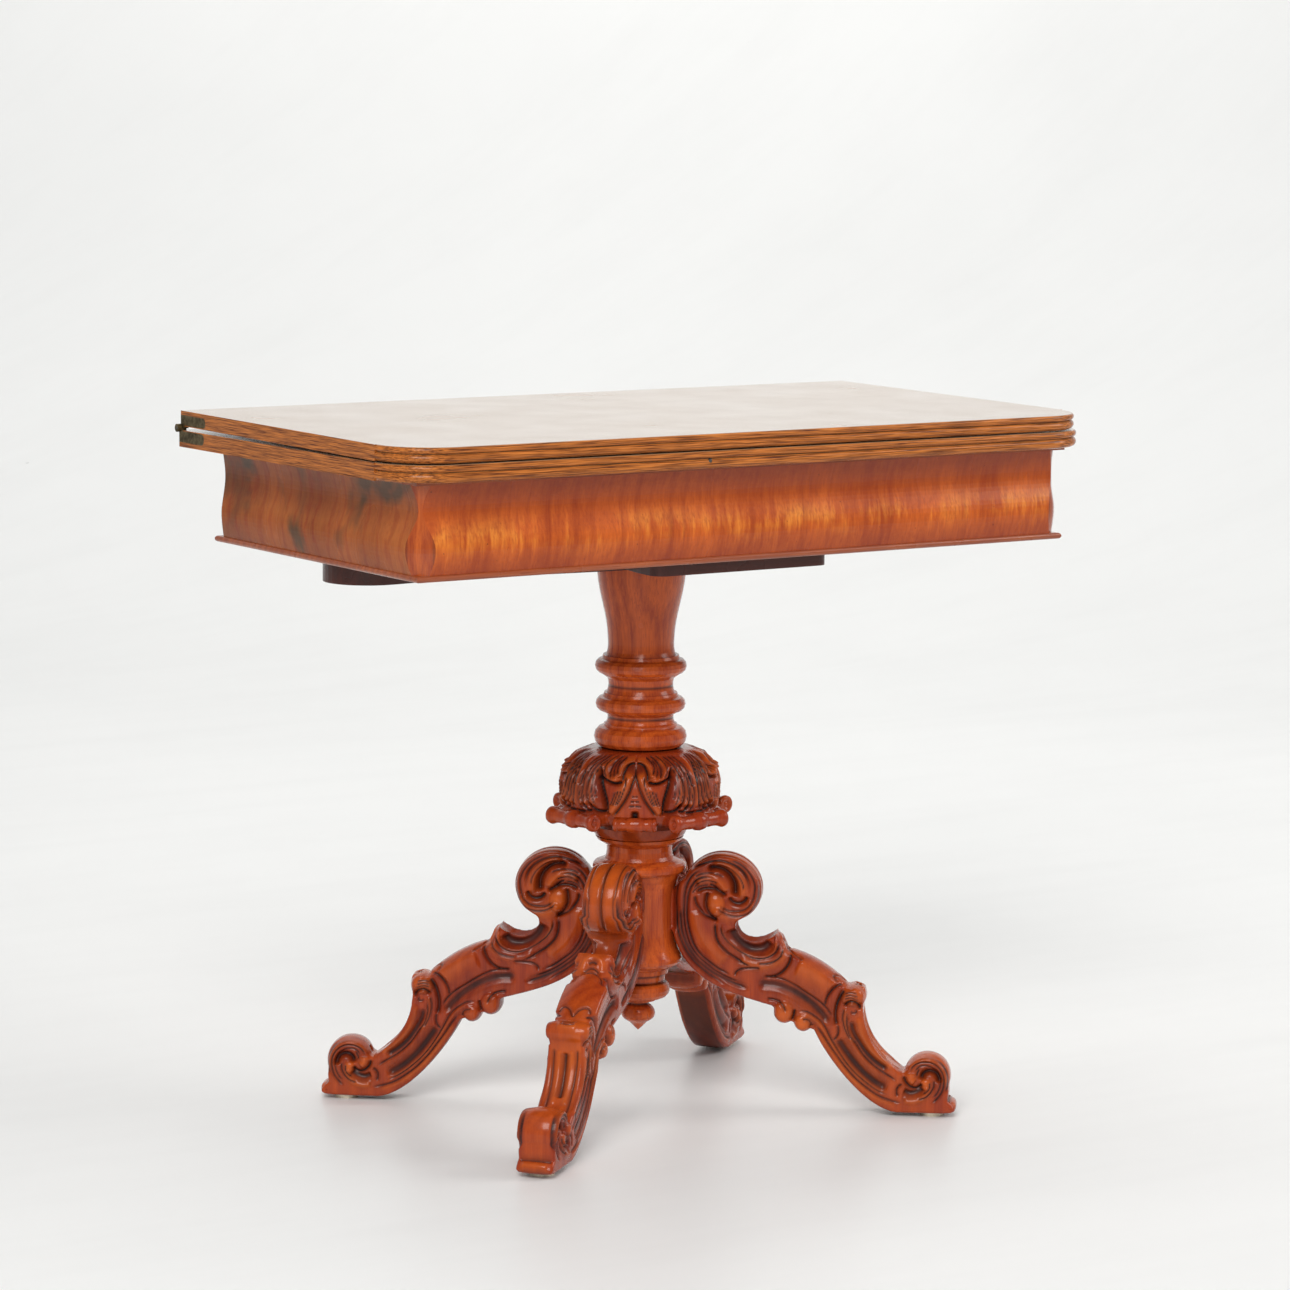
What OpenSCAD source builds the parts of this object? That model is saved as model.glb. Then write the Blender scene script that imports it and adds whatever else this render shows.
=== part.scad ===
// Fold-over games table with a swivelling top on a carved pedestal with four scroll legs.
// Millimetres. Z is up, X runs along the long side, the front looks along -Y and the
// leaves are hinged along the back edge. The column stands on the Z axis, the floor is Z = 0.

/* [Leaves] */
// Length of the lower leaf along the long side
leaf_l = 870; // [780:5:960]
// Depth of the lower leaf from its front edge to the hinge side
leaf_w = 475; // [455:5:540]
// Thickness of the lower leaf
lower_t = 18; // [16:0.5:24]
// Thickness of the upper leaf
upper_t = 16.5; // [15:0.5:22]
// Radius of the two front corners of a leaf
leaf_corner_r = 60; // [30:2:90]
// How far the upper leaf stands back from the lower one on three sides
leaf_step = 2; // [1:0.5:4]
// Share of the edge height that the upper reed takes
reed_share = 0.42; // [0.3:0.02:0.5]
// Gap between the leaves at the hinge when folded shut
hinge_gap = 4; // [3:0.5:6]
// Gap between the leaves at the front when folded shut
front_gap = 1; // [0.5:0.25:1.5]
// Width of the veneered border round the baize
baize_border = 62; // [50:2:90]
// Thickness of the baize
baize_t = 0.9; // [0.6:0.1:1.2]
// Place of the small edge pin along the front, from the middle
edge_pin_x = -72; // [-200:2:200]
// How far the leaves stand out past the frieze's bead at each end
overhang_x = 29; // [20:1:45]
// How far the leaves stand out past the frieze's bead in front and behind
overhang_y = 24.5; // [18:0.5:35]

/* [Leaf hinges] */
// Radius of the hinge knuckle
knuckle_r = 4.3; // [3.5:0.1:5]
// Radius of the hinge pin
hinge_pin_r = 1.6; // [1.2:0.1:2]
// Length of each hinge plate along the leaf's end
plate_l = 50; // [40:2:70]
// Height of the lower hinge plate
lower_plate_h = 12; // [10:0.5:14]
// Height of the upper hinge plate
upper_plate_h = 11; // [9:0.5:13]
// Thickness of the lower hinge plate
lower_plate_t = 1.7; // [1.2:0.1:2.2]
// Thickness of the upper hinge plate
upper_plate_t = 3; // [2:0.25:4]
// How far the outer knuckle stands out of the leaf's end
knuckle_out = 3; // [1:0.5:5]
// Radius of a hinge screw
hinge_screw_r = 1.5; // [1.2:0.1:2]
// Length of a hinge screw
hinge_screw_l = 18; // [12:1:25]

/* [Frieze] */
// Thickness of the frieze rails behind the bead line
rail_t = 24; // [20:1:30]
// Height of the frieze rails
rail_h = 90.7; // [80:1:110]
// Height of the bottom bead
bead_h = 6.5; // [5:0.5:9]
// Thickness of the cap fillet on the frieze
cap_t = 3.5; // [2.5:0.5:6]
// How far the cap fillet stands out past the bead
cap_out = 1; // [0:0.5:3]
// How far the belly of the ogee stands out past the bead
belly_out = 2.2; // [1:0.2:4]
// How far the hollow of the ogee lies behind the bead
hollow_in = 7.5; // [5:0.5:9]
// Leg of the triangle cut off each mitred corner
corner_cut = 18; // [14:1:22]
// Distance of the corner block's axis behind the bead lines
corner_axis = 30.9; // [28:0.5:36]
// Thickness of the board that closes the box below
floor_t = 12; // [8:1:16]
// Thickness of the partition that ends the card well
partition_t = 10; // [8:1:14]

/* [Swivel] */
// Thickness of the rail that carries the pivot
pivot_rail_t = 20; // [16:1:26]
// Width of the rail that carries the pivot
pivot_rail_w = 110; // [100:2:130]
// Radius of the pivot bolt
pivot_r = 8; // [6:0.5:10]
// Radius of the pivot bolt's flange
flange_r = 28; // [24:1:34]
// Thickness of the pivot bolt's flange
flange_t = 3; // [2:0.5:4]
// Thickness of the washer under the pivot rail
washer_t = 3; // [2:0.5:5]
// Radius of the washer under the pivot rail
washer_r = 18; // [15:1:22]
// Height of the nut under the washer
nut_h = 9; // [7:1:12]
// Distance of the stop peg from the pivot
peg_reach = 42; // [38:1:46]
// Radius of the stop peg
peg_r = 4.5; // [3:0.5:5]
// How deep the stop peg reaches into its quadrant groove
peg_depth = 8; // [6:1:10]

/* [Bearers] */
// Thickness of the long bearer
long_bearer_t = 23; // [20:1:28]
// Thickness of the cross bearer that is let into it
cross_bearer_t = 13; // [10:1:15]
// Distance of the long bearer's left end from the frieze's bead
bearer_in_left = 19; // [2:1:60]
// Distance of the long bearer's right end from the frieze's bead
bearer_in_right = 6; // [2:1:60]
// Radius of the long bearer's round ends
bearer_end_r = 46; // [36:2:56]
// Half the width of the long bearer at the column
bearer_mid_w = 62; // [54:2:74]
// Half the width of the long bearer at its waist
bearer_waist_w = 36; // [30:2:44]
// Distance of the cross bearer's ends from the frieze's bead
cross_bearer_in = 17; // [10:1:40]
// Half the width of the cross bearer at its ends
cross_end_w = 109; // [90:2:120]
// Half the width of the cross bearer at the column
cross_mid_w = 84; // [70:2:88]

/* [Column] */
// Height of the turned shaft between bulb and bearers
shaft_h = 202; // [180:2:230]
// Largest radius of the turned shaft
shaft_r = 50.4; // [44:0.2:54]
// Height of the carved bulb
bulb_h = 97.5; // [90:0.5:112]
// Height of the turned hub that holds the legs
hub_h = 142.5; // [136:0.5:150]
// Largest radius of the turned hub
hub_r = 50.9; // [46:0.5:54]
// Height of the drop finial under the hub
finial_h = 73.5; // [60:1:90]
// Largest radius of the drop finial
finial_r = 37; // [33:0.5:40]
// Height of the hub's underside over the feet
hub_rise = 154; // [150:1:158]
// Radius of the bulb's dome
dome_r = 88; // [80:1:96]
// Distance of the leaf scrolls from the column's axis
scroll_reach = 95; // [88:1:102]
// Radius of the leaf scrolls
scroll_r = 8; // [6:0.5:10]
// Length of the leaf scrolls
scroll_l = 73; // [60:1:84]
// Direction of the bulb's front panel, from +X
bulb_turn = 233.2; // [200:0.2:260]
// Radius of the round tenons that join the column
tenon_r = 16; // [12:1:20]

/* [Legs] */
// Thickness of a leg
leg_t = 40; // [32:1:46]
// Angle of each leg from the long axis
leg_angle = 39; // [36:1:46]
// Radius of the big scroll at the top of a leg
volute_r = 44.5; // [40:0.5:48]
// Radius of the foot scroll
foot_r = 25.5; // [22:0.5:28]
// Radius of the knee scroll
knee_r = 13; // [10:0.5:15]
// Depth of the sunk side panels
panel_sink = 3; // [1:0.5:5]
// Width of the moulded border along a leg's edges
leg_border = 8; // [6:0.5:10]
// Distance of the foot's middle from the column's axis
foot_reach = 322; // [312:1:332]
// Height of the brass glides
glide_h = 4; // [3:0.5:8]
// Radius of the brass glides
glide_r = 13; // [9:0.5:14]

/* [Fits] */
// Gap under the swivelling leaf
slide_gap = 0.3; // [0.25:0.05:0.5]
// Radial clearance of turning pins
pin_clearance = 0.05; // [0.02:0.01:0.1]
// Gap round moving knuckles
knuckle_gap = 0.4; // [0.3:0.1:0.8]

/* [Hidden] */
$fn = 48;

wood = "sienna";
dark_wood = "#4a2418";
brass = "darkgoldenrod";
steel = "dimgray";

// Levels from the floor up
z_hub = glide_h + hub_rise;
z_bulb = z_hub + hub_h;
z_shaft = z_bulb + bulb_h;
z_bearer = z_shaft + shaft_h;
z_box = z_bearer + long_bearer_t;
z_rail = z_box + bead_h;
z_rail_top = z_rail + rail_h;
z_cap_top = z_rail_top + cap_t;
z_lower = z_cap_top + slide_gap;
z_table = z_lower + lower_t;

// Places in plan
half_l = leaf_l / 2;
half_w = leaf_w / 2;
frieze_l = leaf_l - 2 * overhang_x;
frieze_w = leaf_w - 2 * overhang_y;
fx = frieze_l / 2;
fy = frieze_w / 2;
inner_x = fx - rail_t;
inner_y = fy - rail_t;
pivot_x = leaf_w / 4;
pivot_y = leaf_w / 4;
rail_x = pivot_x;

// Leaf hinge
edge_gap = 0.25;
hinge_y = half_w + edge_gap;
hinge_z = z_table + hinge_gap / 2;
closed_tilt = atan((hinge_gap - front_gap) / leaf_w);
outer_knuckle_x0 = half_l - lower_plate_t;
outer_knuckle_x1 = half_l + knuckle_out;
inner_knuckle_x1 = half_l - leaf_step;
inner_knuckle_x0 = inner_knuckle_x1 - lower_plate_t - upper_plate_t;
knuckle_split = min(inner_knuckle_x1, outer_knuckle_x0) - 0.15;

// A smooth curve through four control points, without its last point
function bez(a, b, c, d, n = 8) = [for (i = [0:n - 1]) let (t = i / n, s = 1 - t)
    a * s * s * s + b * 3 * s * s * t + c * 3 * s * t * t + d * t * t * t];
// An arc about a centre, with both end points
function arc(c, r, a0, a1, n = 12) = [for (i = [0:n]) let (a = a0 + (a1 - a0) * i / n)
    c + r * [cos(a), sin(a)]];
function mirror_x(p) = [for (i = [len(p) - 1:-1:0]) [-p[i][0], p[i][1]]];

// Leaves

// One reed along the front of a leaf and round both front corners
module edge_reed(l, y_front, r, z) {
    x = l / 2 - r;
    corner = leaf_corner_r - r;
    for (side = [-1, 1]) translate([side * (x - corner), y_front + leaf_corner_r, z])
        rotate([0, 0, side > 0 ? -90 : 180]) rotate_extrude(angle = 90)
        translate([corner, 0]) circle(r = r);
    translate([-(x - corner), y_front + r, z]) rotate([0, 90, 0])
        cylinder(h = 2 * (x - corner), r = r);
}

// Plan of a leaf's round-cornered front, drawn in by a margin for its reeds
module leaf_front_plan(l, y_front, margin) {
    r = leaf_corner_r - margin;
    x = l / 2 - leaf_corner_r;
    for (side = [-1, 1]) translate([side * x, y_front + leaf_corner_r]) circle(r = r);
    translate([-x, y_front + margin]) square([2 * x, r + 1]);
}

// The reeds stop where the round corners meet the straight ends, which are plain
module leaf_blank(l, t, y_front, y_back, z) {
    top_r = t * reed_share / 2;
    low_r = t / 2 - top_r;
    translate([0, 0, z]) linear_extrude(2 * low_r) leaf_front_plan(l, y_front, low_r);
    translate([0, 0, z + 2 * low_r]) linear_extrude(2 * top_r)
        leaf_front_plan(l, y_front, top_r);
    edge_reed(l, y_front, low_r, z + low_r);
    edge_reed(l, y_front, top_r, z + t - top_r);
    translate([-l / 2, y_front + leaf_corner_r, z])
        cube([l, y_back - y_front - leaf_corner_r, t]);
}

module baize_plan(l, y_front, y_back, shrink) {
    b = baize_border + shrink;
    translate([-l / 2 + b, y_front + b]) square([l - 2 * b, y_back - y_front - 2 * b]);
}

// The upper leaf is drawn shut and level, then tipped about the hinge
module closed_tip() {
    translate([0, hinge_y, hinge_z]) rotate([closed_tilt, 0, 0])
        translate([0, -hinge_y, -hinge_z]) children();
}

z_upper = z_table + hinge_gap;
upper_l = leaf_l - 2 * leaf_step;
upper_front = -half_w + leaf_step;

module hinge_axis(x0, x1, r) {
    translate([x0, hinge_y, hinge_z]) rotate([0, 90, 0]) cylinder(h = x1 - x0, r = r);
}

module both_ends() {
    children();
    mirror([1, 0, 0]) children();
}

// Outline of a hinge plate in the end view: Y along the leaf, Z up
module plate_outline(h, z0) {
    translate([half_w - plate_l, z0]) square([plate_l, h]);
    translate([half_w - plate_l, z0 + h / 2]) circle(r = h / 2);
}

module end_view(x0, x1) {
    translate([x0, 0, 0]) rotate([90, 0, 90]) linear_extrude(x1 - x0) children();
}

lower_plate_z = z_table - lower_plate_h - 1;
upper_plate_z = z_upper + 1;
screw_pitch = plate_l - 14;

module hinge_screw_axes(z) {
    for (i = [0, 1]) translate([0, half_w - 16 - i * (screw_pitch - 4), z])
        rotate([0, -90, 0]) children();
}

module plate_upper_shape() {
    difference() {
        union() {
            end_view(inner_knuckle_x1 - upper_plate_t, inner_knuckle_x1)
                plate_outline(upper_plate_h, upper_plate_z);
            end_view(inner_knuckle_x0, knuckle_split)
                translate([half_w - 2 * knuckle_r, hinge_z])
                square([2 * knuckle_r, upper_plate_z + upper_plate_h - hinge_z]);
            hinge_axis(inner_knuckle_x0, knuckle_split, knuckle_r);
        }
        hinge_axis(knuckle_split, half_l + 9, knuckle_r + knuckle_gap);
    }
}

module plate_lower_shape() {
    end_view(outer_knuckle_x0, half_l) {
        plate_outline(lower_plate_h, lower_plate_z);
        translate([half_w - 2 * knuckle_r, lower_plate_z])
            square([2 * knuckle_r, hinge_z - lower_plate_z]);
    }
    hinge_axis(outer_knuckle_x0, outer_knuckle_x1, knuckle_r);
}

module leaf_upper() color(wood) closed_tip() {
    difference() {
        leaf_blank(upper_l, upper_t, upper_front, half_w, z_upper);
        translate([0, 0, z_upper - 1]) linear_extrude(1 + baize_t + 0.1)
            baize_plan(leaf_l, -half_w, half_w, 0);
        both_ends() {
            hinge_axis(inner_knuckle_x0 - knuckle_gap, half_l + 9, knuckle_r + knuckle_gap);
            end_view(inner_knuckle_x1 - upper_plate_t, half_l + 9)
                plate_outline(upper_plate_h, upper_plate_z);
            end_view(inner_knuckle_x0, half_l + 9)
                translate([half_w - 2 * knuckle_r, z_upper - 1])
                square([2 * knuckle_r + 1, upper_plate_z + upper_plate_h - z_upper + 1]);
            translate([inner_knuckle_x1 + 1, 0, 0])
                hinge_screw_axes(upper_plate_z + upper_plate_h / 2)
                cylinder(h = hinge_screw_l + 1, r = hinge_screw_r);
        }
    }
}

module leaf_lower() color(wood) {
    flange_z = z_lower;
    difference() {
        leaf_blank(leaf_l, lower_t, -half_w, half_w, z_lower);
        translate([0, 0, z_table - baize_t - 0.1]) linear_extrude(2)
            baize_plan(leaf_l, -half_w, half_w, 0);
        both_ends() {
            hinge_axis(inner_knuckle_x0 - knuckle_gap, half_l + 9, knuckle_r + knuckle_gap);
            end_view(outer_knuckle_x0, half_l + 9)
                plate_outline(lower_plate_h, lower_plate_z);
            end_view(outer_knuckle_x0, half_l + 9)
                translate([half_w - 2 * knuckle_r, lower_plate_z])
                square([2 * knuckle_r + 1, z_table - lower_plate_z + 1]);
            translate([half_l + 1, 0, 0])
                hinge_screw_axes(lower_plate_z + lower_plate_h / 2)
                cylinder(h = hinge_screw_l + 1, r = hinge_screw_r);
        }
        translate([pivot_x, pivot_y, flange_z - 1]) cylinder(h = flange_t + 1, r = flange_r);
        pivot_screw_axes() cylinder(h = pivot_screw_l, r = pivot_screw_r);
        peg_place() translate([0, 0, z_lower - 1]) cylinder(h = peg_seat + 1, r = peg_r);
        translate([edge_pin_x, -half_w - 1, edge_pin_z]) rotate([-90, 0, 0])
            cylinder(h = edge_pin_l + 1, r = edge_pin_r);
    }
}

edge_pin_r = 2.2;
edge_pin_l = 12;
edge_pin_z = z_lower + lower_t * (1 - reed_share) - edge_pin_r;

module edge_pin() color(steel) {
    translate([edge_pin_x, -half_w + 1.2, edge_pin_z]) rotate([-90, 0, 0])
        cylinder(h = edge_pin_l - 1.2, r = edge_pin_r);
}

module baize_upper() color("darkgreen") closed_tip()
    translate([0, 0, z_upper + 0.1]) linear_extrude(baize_t)
    baize_plan(leaf_l, -half_w, half_w, 0);

module baize_lower() color("darkgreen")
    translate([0, 0, z_table - baize_t - 0.1]) linear_extrude(baize_t)
    baize_plan(leaf_l, -half_w, half_w, 0);

module hinge_plates_upper() color(brass) closed_tip() both_ends() difference() {
    plate_upper_shape();
    hinge_axis(inner_knuckle_x0 - 1, half_l, hinge_pin_r + pin_clearance);
    translate([inner_knuckle_x1 + 1, 0, 0])
        hinge_screw_axes(upper_plate_z + upper_plate_h / 2)
        cylinder(h = upper_plate_t + 2, r = hinge_screw_r);
}

module hinge_plates_lower() color(brass) both_ends() difference() {
    plate_lower_shape();
    hinge_axis(outer_knuckle_x0 - 1, outer_knuckle_x1 + 1, hinge_pin_r);
    translate([half_l + 1, 0, 0])
        hinge_screw_axes(lower_plate_z + lower_plate_h / 2)
        cylinder(h = lower_plate_t + 2, r = hinge_screw_r);
}

module hinge_pins() color(steel) both_ends()
    hinge_axis(inner_knuckle_x0, outer_knuckle_x1, hinge_pin_r);

module hinge_screws_upper() color(brass) closed_tip() both_ends()
    translate([inner_knuckle_x1, 0, 0]) hinge_screw_axes(upper_plate_z + upper_plate_h / 2)
    cylinder(h = hinge_screw_l, r = hinge_screw_r);

module hinge_screws_lower() color(brass) both_ends()
    translate([half_l, 0, 0]) hinge_screw_axes(lower_plate_z + lower_plate_h / 2)
    cylinder(h = hinge_screw_l, r = hinge_screw_r);

// Frieze

// How far the ogee stands out at a share of the rail's height
function ogee_out(s) =
    s < 0.28 ? -2.5 + (belly_out + 2.5) * sin(90 * s / 0.28) :
    s < 0.71 ? belly_out - (belly_out + hollow_in) * (1 - cos(180 * (s - 0.28) / 0.43)) / 2 :
    -hollow_in + (hollow_in - 1.5) * (1 - cos(90 * (s - 0.71) / 0.29));
ogee_steps = 20;
ogee_curve = [for (i = [0:ogee_steps]) let (s = i / ogee_steps)
    [ogee_out(s), z_rail + rail_h * s]];

// Section of a rail: X is the way out, Y is up
module ogee_section() polygon(concat(ogee_curve,
    [[-rail_t, z_rail_top], [-rail_t, z_rail]]));

// Section of the bottom bead with its half-round nose
module bead_section() {
    translate([-rail_t, z_box]) square([rail_t - bead_h / 2, bead_h]);
    translate([-bead_h / 2, z_box + bead_h / 2]) circle(r = bead_h / 2);
}

module cap_section() {
    translate([-rail_t, z_rail_top]) square([rail_t + cap_out, cap_t]);
}

// A strip of any section along one side: side 0 is the front, 1 right, 2 back, 3 left
module side_strip(side) {
    along = side % 2 == 0 ? frieze_l : frieze_w;
    out = side % 2 == 0 ? fy : fx;
    rotate([0, 0, 90 * side]) translate([-along / 2 - 10, -out, 0])
        rotate([90, 0, 90]) mirror([1, 0, 0]) linear_extrude(along + 20) children();
}

// Plan of the space of one side between its mitres, with the corners cut or left sharp
module side_plan(side, cut) {
    a = (side % 2 == 0 ? fx : fy);
    b = (side % 2 == 0 ? fy : fx);
    deep = rail_t + 6;
    ends = cut > 0
        ? [[-a + cut + 12, -b - 12], [-a + cut / 2, -b + cut / 2], [-a + deep, -b + deep]]
        : [[-a - 12, -b - 12], [-a + deep, -b + deep]];
    rotate([0, 0, 90 * side]) translate([0, 0, z_box - 1])
        linear_extrude(z_table - z_box) polygon(concat(ends, mirror_x(ends)));
}

module frieze_rail(side) color(wood) intersection() {
    side_strip(side) ogee_section();
    side_plan(side, corner_cut);
}

module frieze_front() frieze_rail(0);
module frieze_right() frieze_rail(1);
module frieze_back() frieze_rail(2);
module frieze_left() frieze_rail(3);

// Convex slip on a cut corner. Its turned face meets the ogee where the rails were cut.
function corner_block_r(out) = sqrt(pow(corner_axis - corner_cut - out, 2)
    + pow(corner_axis + out, 2));

module ogee_corner() intersection() {
    translate([-fx, -fy, 0]) mirror([1, 0, 0]) rotate([90, 0, 0]) mirror([0, 0, 1])
        translate([0, 0, -12]) linear_extrude(rail_t + 18) ogee_section();
    translate([-fx, -fy, 0]) rotate([90, 0, 90]) mirror([1, 0, 0])
        translate([0, 0, -12]) linear_extrude(rail_t + 18) ogee_section();
}

module corner_block() intersection() {
    ogee_corner();
    translate([-fx + corner_axis, -fy + corner_axis, 0]) rotate_extrude($fn = 180)
        polygon(concat([for (p = ogee_curve) [corner_block_r(p[0]), p[1]]],
            [[0, z_rail_top], [0, z_rail]]));
    translate([0, 0, z_rail]) linear_extrude(rail_h)
        polygon([[-fx - 12, -fy - 12], [-fx + corner_cut + 12, -fy - 12],
            [-fx - 12, -fy + corner_cut + 12]]);
}

module corner_blocks() color(wood) both_ends() {
    corner_block();
    mirror([0, 1, 0]) corner_block();
}

module cap_fillet() color(wood) for (side = [0:3]) intersection() {
    side_strip(side) cap_section();
    side_plan(side, 0);
}

module bottom_bead() color(wood) for (side = [0:3]) intersection() {
    side_strip(side) bead_section();
    side_plan(side, 0);
}

module box_floor() color(dark_wood) difference() {
    translate([-inner_x, -inner_y, z_box]) cube([2 * inner_x, 2 * inner_y, floor_t]);
    column_tenon_space();
    bearer_screw_holes();
}

z_well = z_box + floor_t;

module well_partition() color(wood)
    translate([0, -inner_y, z_well])
    cube([partition_t, 2 * inner_y, z_rail_top - z_well]);

module pivot_rail() color(wood) difference() {
    translate([rail_x - pivot_rail_w / 2, -inner_y, z_rail_top - pivot_rail_t])
        cube([pivot_rail_w, 2 * inner_y, pivot_rail_t]);
    translate([pivot_x, pivot_y, z_rail_top - pivot_rail_t - 1])
        cylinder(h = pivot_rail_t + 2, r = pivot_r + pin_clearance);
    translate([pivot_x, pivot_y, z_rail_top - groove_depth]) peg_groove();
}

// Swivel

peg_angle = 180;
peg_seat = 10;
groove_r = peg_r + 0.5;
groove_depth = peg_depth - (z_lower - z_rail_top) + 1;
pivot_screw_r = 1.8;
pivot_screw_l = 14;
pivot_screw_ring = flange_r - 7;

module peg_place() translate([pivot_x, pivot_y, 0]) rotate([0, 0, peg_angle])
    translate([peg_reach, 0, 0]) children();

// Quarter-round groove in which the stop peg travels
module peg_groove() {
    rotate([0, 0, peg_angle]) rotate_extrude(angle = 90)
        translate([peg_reach - groove_r, 0]) square([2 * groove_r, groove_depth + 1]);
    for (a = [0, 90]) rotate([0, 0, peg_angle + a]) translate([peg_reach, 0, 0])
        cylinder(h = groove_depth + 1, r = groove_r);
}

module pivot_screw_axes() {
    for (i = [0:2]) translate([pivot_x, pivot_y, z_lower]) rotate([0, 0, 120 * i])
        translate([pivot_screw_ring, 0, 0]) children();
}

z_washer = z_rail_top - pivot_rail_t - slide_gap - washer_t;

module pivot_bolt() color(steel) difference() {
    translate([pivot_x, pivot_y, 0]) {
        translate([0, 0, z_lower]) cylinder(h = flange_t, r = flange_r);
        translate([0, 0, z_washer - nut_h - 3])
            cylinder(h = z_lower - z_washer + nut_h + 3 + flange_t, r = pivot_r);
    }
    pivot_screw_axes() cylinder(h = pivot_screw_l, r = pivot_screw_r);
}

module pivot_screws() color(steel) pivot_screw_axes()
    cylinder(h = pivot_screw_l, r = pivot_screw_r);

module pivot_washer() color(brass) translate([pivot_x, pivot_y, z_washer]) difference() {
    cylinder(h = washer_t, r = washer_r);
    translate([0, 0, -1]) cylinder(h = washer_t + 2, r = pivot_r);
}

module pivot_nut() color(steel) translate([pivot_x, pivot_y, z_washer - nut_h]) difference() {
    cylinder(h = nut_h, r = pivot_r * 1.75, $fn = 6);
    translate([0, 0, -1]) cylinder(h = nut_h + 2, r = pivot_r);
}

module stop_peg() color(wood) peg_place() translate([0, 0, z_lower - peg_depth])
    cylinder(h = peg_depth + peg_seat, r = peg_r);

// Bearers

// One half of the long bearer's outline, from the column to the round end
function bearer_half(reach) = let (c = reach - bearer_end_r, neck = c - bearer_end_r - 26)
    concat(
        bez([0, bearer_mid_w], [reach * 0.3, bearer_mid_w], [neck - 60, bearer_waist_w],
            [neck, bearer_waist_w], 10),
        bez([neck, bearer_waist_w], [neck + 20, bearer_waist_w],
            [c - bearer_end_r * 0.8, bearer_end_r], [c, bearer_end_r], 8),
        arc([c, 0], bearer_end_r, 90, 0, 10));

function flip_y(p) = [for (i = [len(p) - 1:-1:0]) [p[i][0], -p[i][1]]];

long_bearer_left = fx - bearer_in_left;
long_bearer_right = fx - bearer_in_right;
cross_bearer_reach = fy - cross_bearer_in;

module long_bearer_plan() {
    upper = concat(mirror_x(bearer_half(long_bearer_left)),
        [for (i = [1:28]) bearer_half(long_bearer_right)[i]]);
    polygon(concat(upper, [for (i = [1:len(upper) - 2]) flip_y(upper)[i]]));
}

module cross_bearer_plan() {
    corner = 14;
    y = cross_bearer_reach;
    quarter = concat(arc([cross_end_w - corner, y - corner], corner, 90, 0, 6),
        bez([cross_end_w, y - corner - 1], [cross_end_w - 2, y * 0.6],
            [cross_mid_w, y * 0.5], [cross_mid_w, 0], 10));
    right = concat(quarter, [[cross_mid_w, 0]], flip_y(quarter));
    polygon(concat(right, mirror_x(right)));
}

z_cross = z_box - cross_bearer_t;

top_tenon_r = 26;
top_tenon_h = long_bearer_t + floor_t / 2;

module column_tenon_space() translate([0, 0, z_bearer - 1])
    cylinder(h = top_tenon_h + 1, r = top_tenon_r);

screw_r = 2.4;
screw_head_r = 4.8;
screw_head_h = 3;

// Screws that hold the bearers up to the box: [x, y, level of the head]
bearer_screw_spots = [
    [long_bearer_right - bearer_end_r, 0, z_bearer],
    [-long_bearer_left + bearer_end_r, 0, z_bearer],
    [long_bearer_right / 2, 0, z_bearer], [-long_bearer_left / 2, 0, z_bearer],
    [cross_mid_w * 0.7, cross_bearer_reach - 30, z_cross],
    [-cross_mid_w * 0.7, cross_bearer_reach - 30, z_cross],
    [cross_mid_w * 0.7, -cross_bearer_reach + 30, z_cross],
    [-cross_mid_w * 0.7, -cross_bearer_reach + 30, z_cross]];

// Each screw stops 2 mm below the upper face of the box floor
module bearer_screw_holes() for (p = bearer_screw_spots) translate(p) {
    cylinder(h = z_box + floor_t - 2 - p[2], r = screw_r);
    cylinder(h = screw_head_h, r1 = screw_head_r, r2 = screw_r);
}

module bearer_screws() color(steel) bearer_screw_holes();

module long_bearer() color(dark_wood) difference() {
    translate([0, 0, z_bearer]) linear_extrude(long_bearer_t) long_bearer_plan();
    translate([0, 0, z_cross]) linear_extrude(cross_bearer_t + 1) cross_bearer_plan();
    column_tenon_space();
    bearer_screw_holes();
}

module cross_bearer() color(dark_wood) difference() {
    translate([0, 0, z_cross]) linear_extrude(cross_bearer_t) cross_bearer_plan();
    column_tenon_space();
    bearer_screw_holes();
}

// Column

// A torus moulding of a turned outline
function ring(z, r, half, n = 6) = [for (i = [0:n]) let (a = -90 + 180 * i / n)
    [z + half * sin(a), r + half * 0.9 * cos(a)]];
// A turned outline stretched to a height and to its largest radius
function fitted(outline, h, r) = let (h0 = outline[len(outline) - 1][0],
    r0 = max([for (p = outline) p[1]])) [for (p = outline) [p[0] * h / h0, p[1] * r / r0]];

// Shaft as drawn on the lathe template: [height above the bulb, radius]
shaft_outline = concat(
    [[0, 44]],
    ring(12, 40, 11.5), [[24.5, 39.5], [26, 39.5]],
    bez([26, 39], [28, 35], [35, 34.5], [38.5, 37.5], 5),
    [[39, 41]], ring(47.5, 41.5, 8), [[57, 40.5], [60, 39.5]],
    bez([60, 37], [66, 34.2], [74, 34.2], [79, 38], 5),
    [[80, 42]], ring(89, 42.5, 8), [[98, 42], [101, 41]],
    bez([101, 38], [107, 35.5], [112, 35.6], [118, 36], 4),
    bez([118, 36], [150, 37], [167, 48], [202, 48.5], 9),
    [[202, 48.5]]);

module turned(outline) rotate_extrude($fn = 72)
    polygon(concat([[0, outline[0][0]]], [for (p = outline) [p[1], p[0]]],
        [[0, outline[len(outline) - 1][0]]]));

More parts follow.
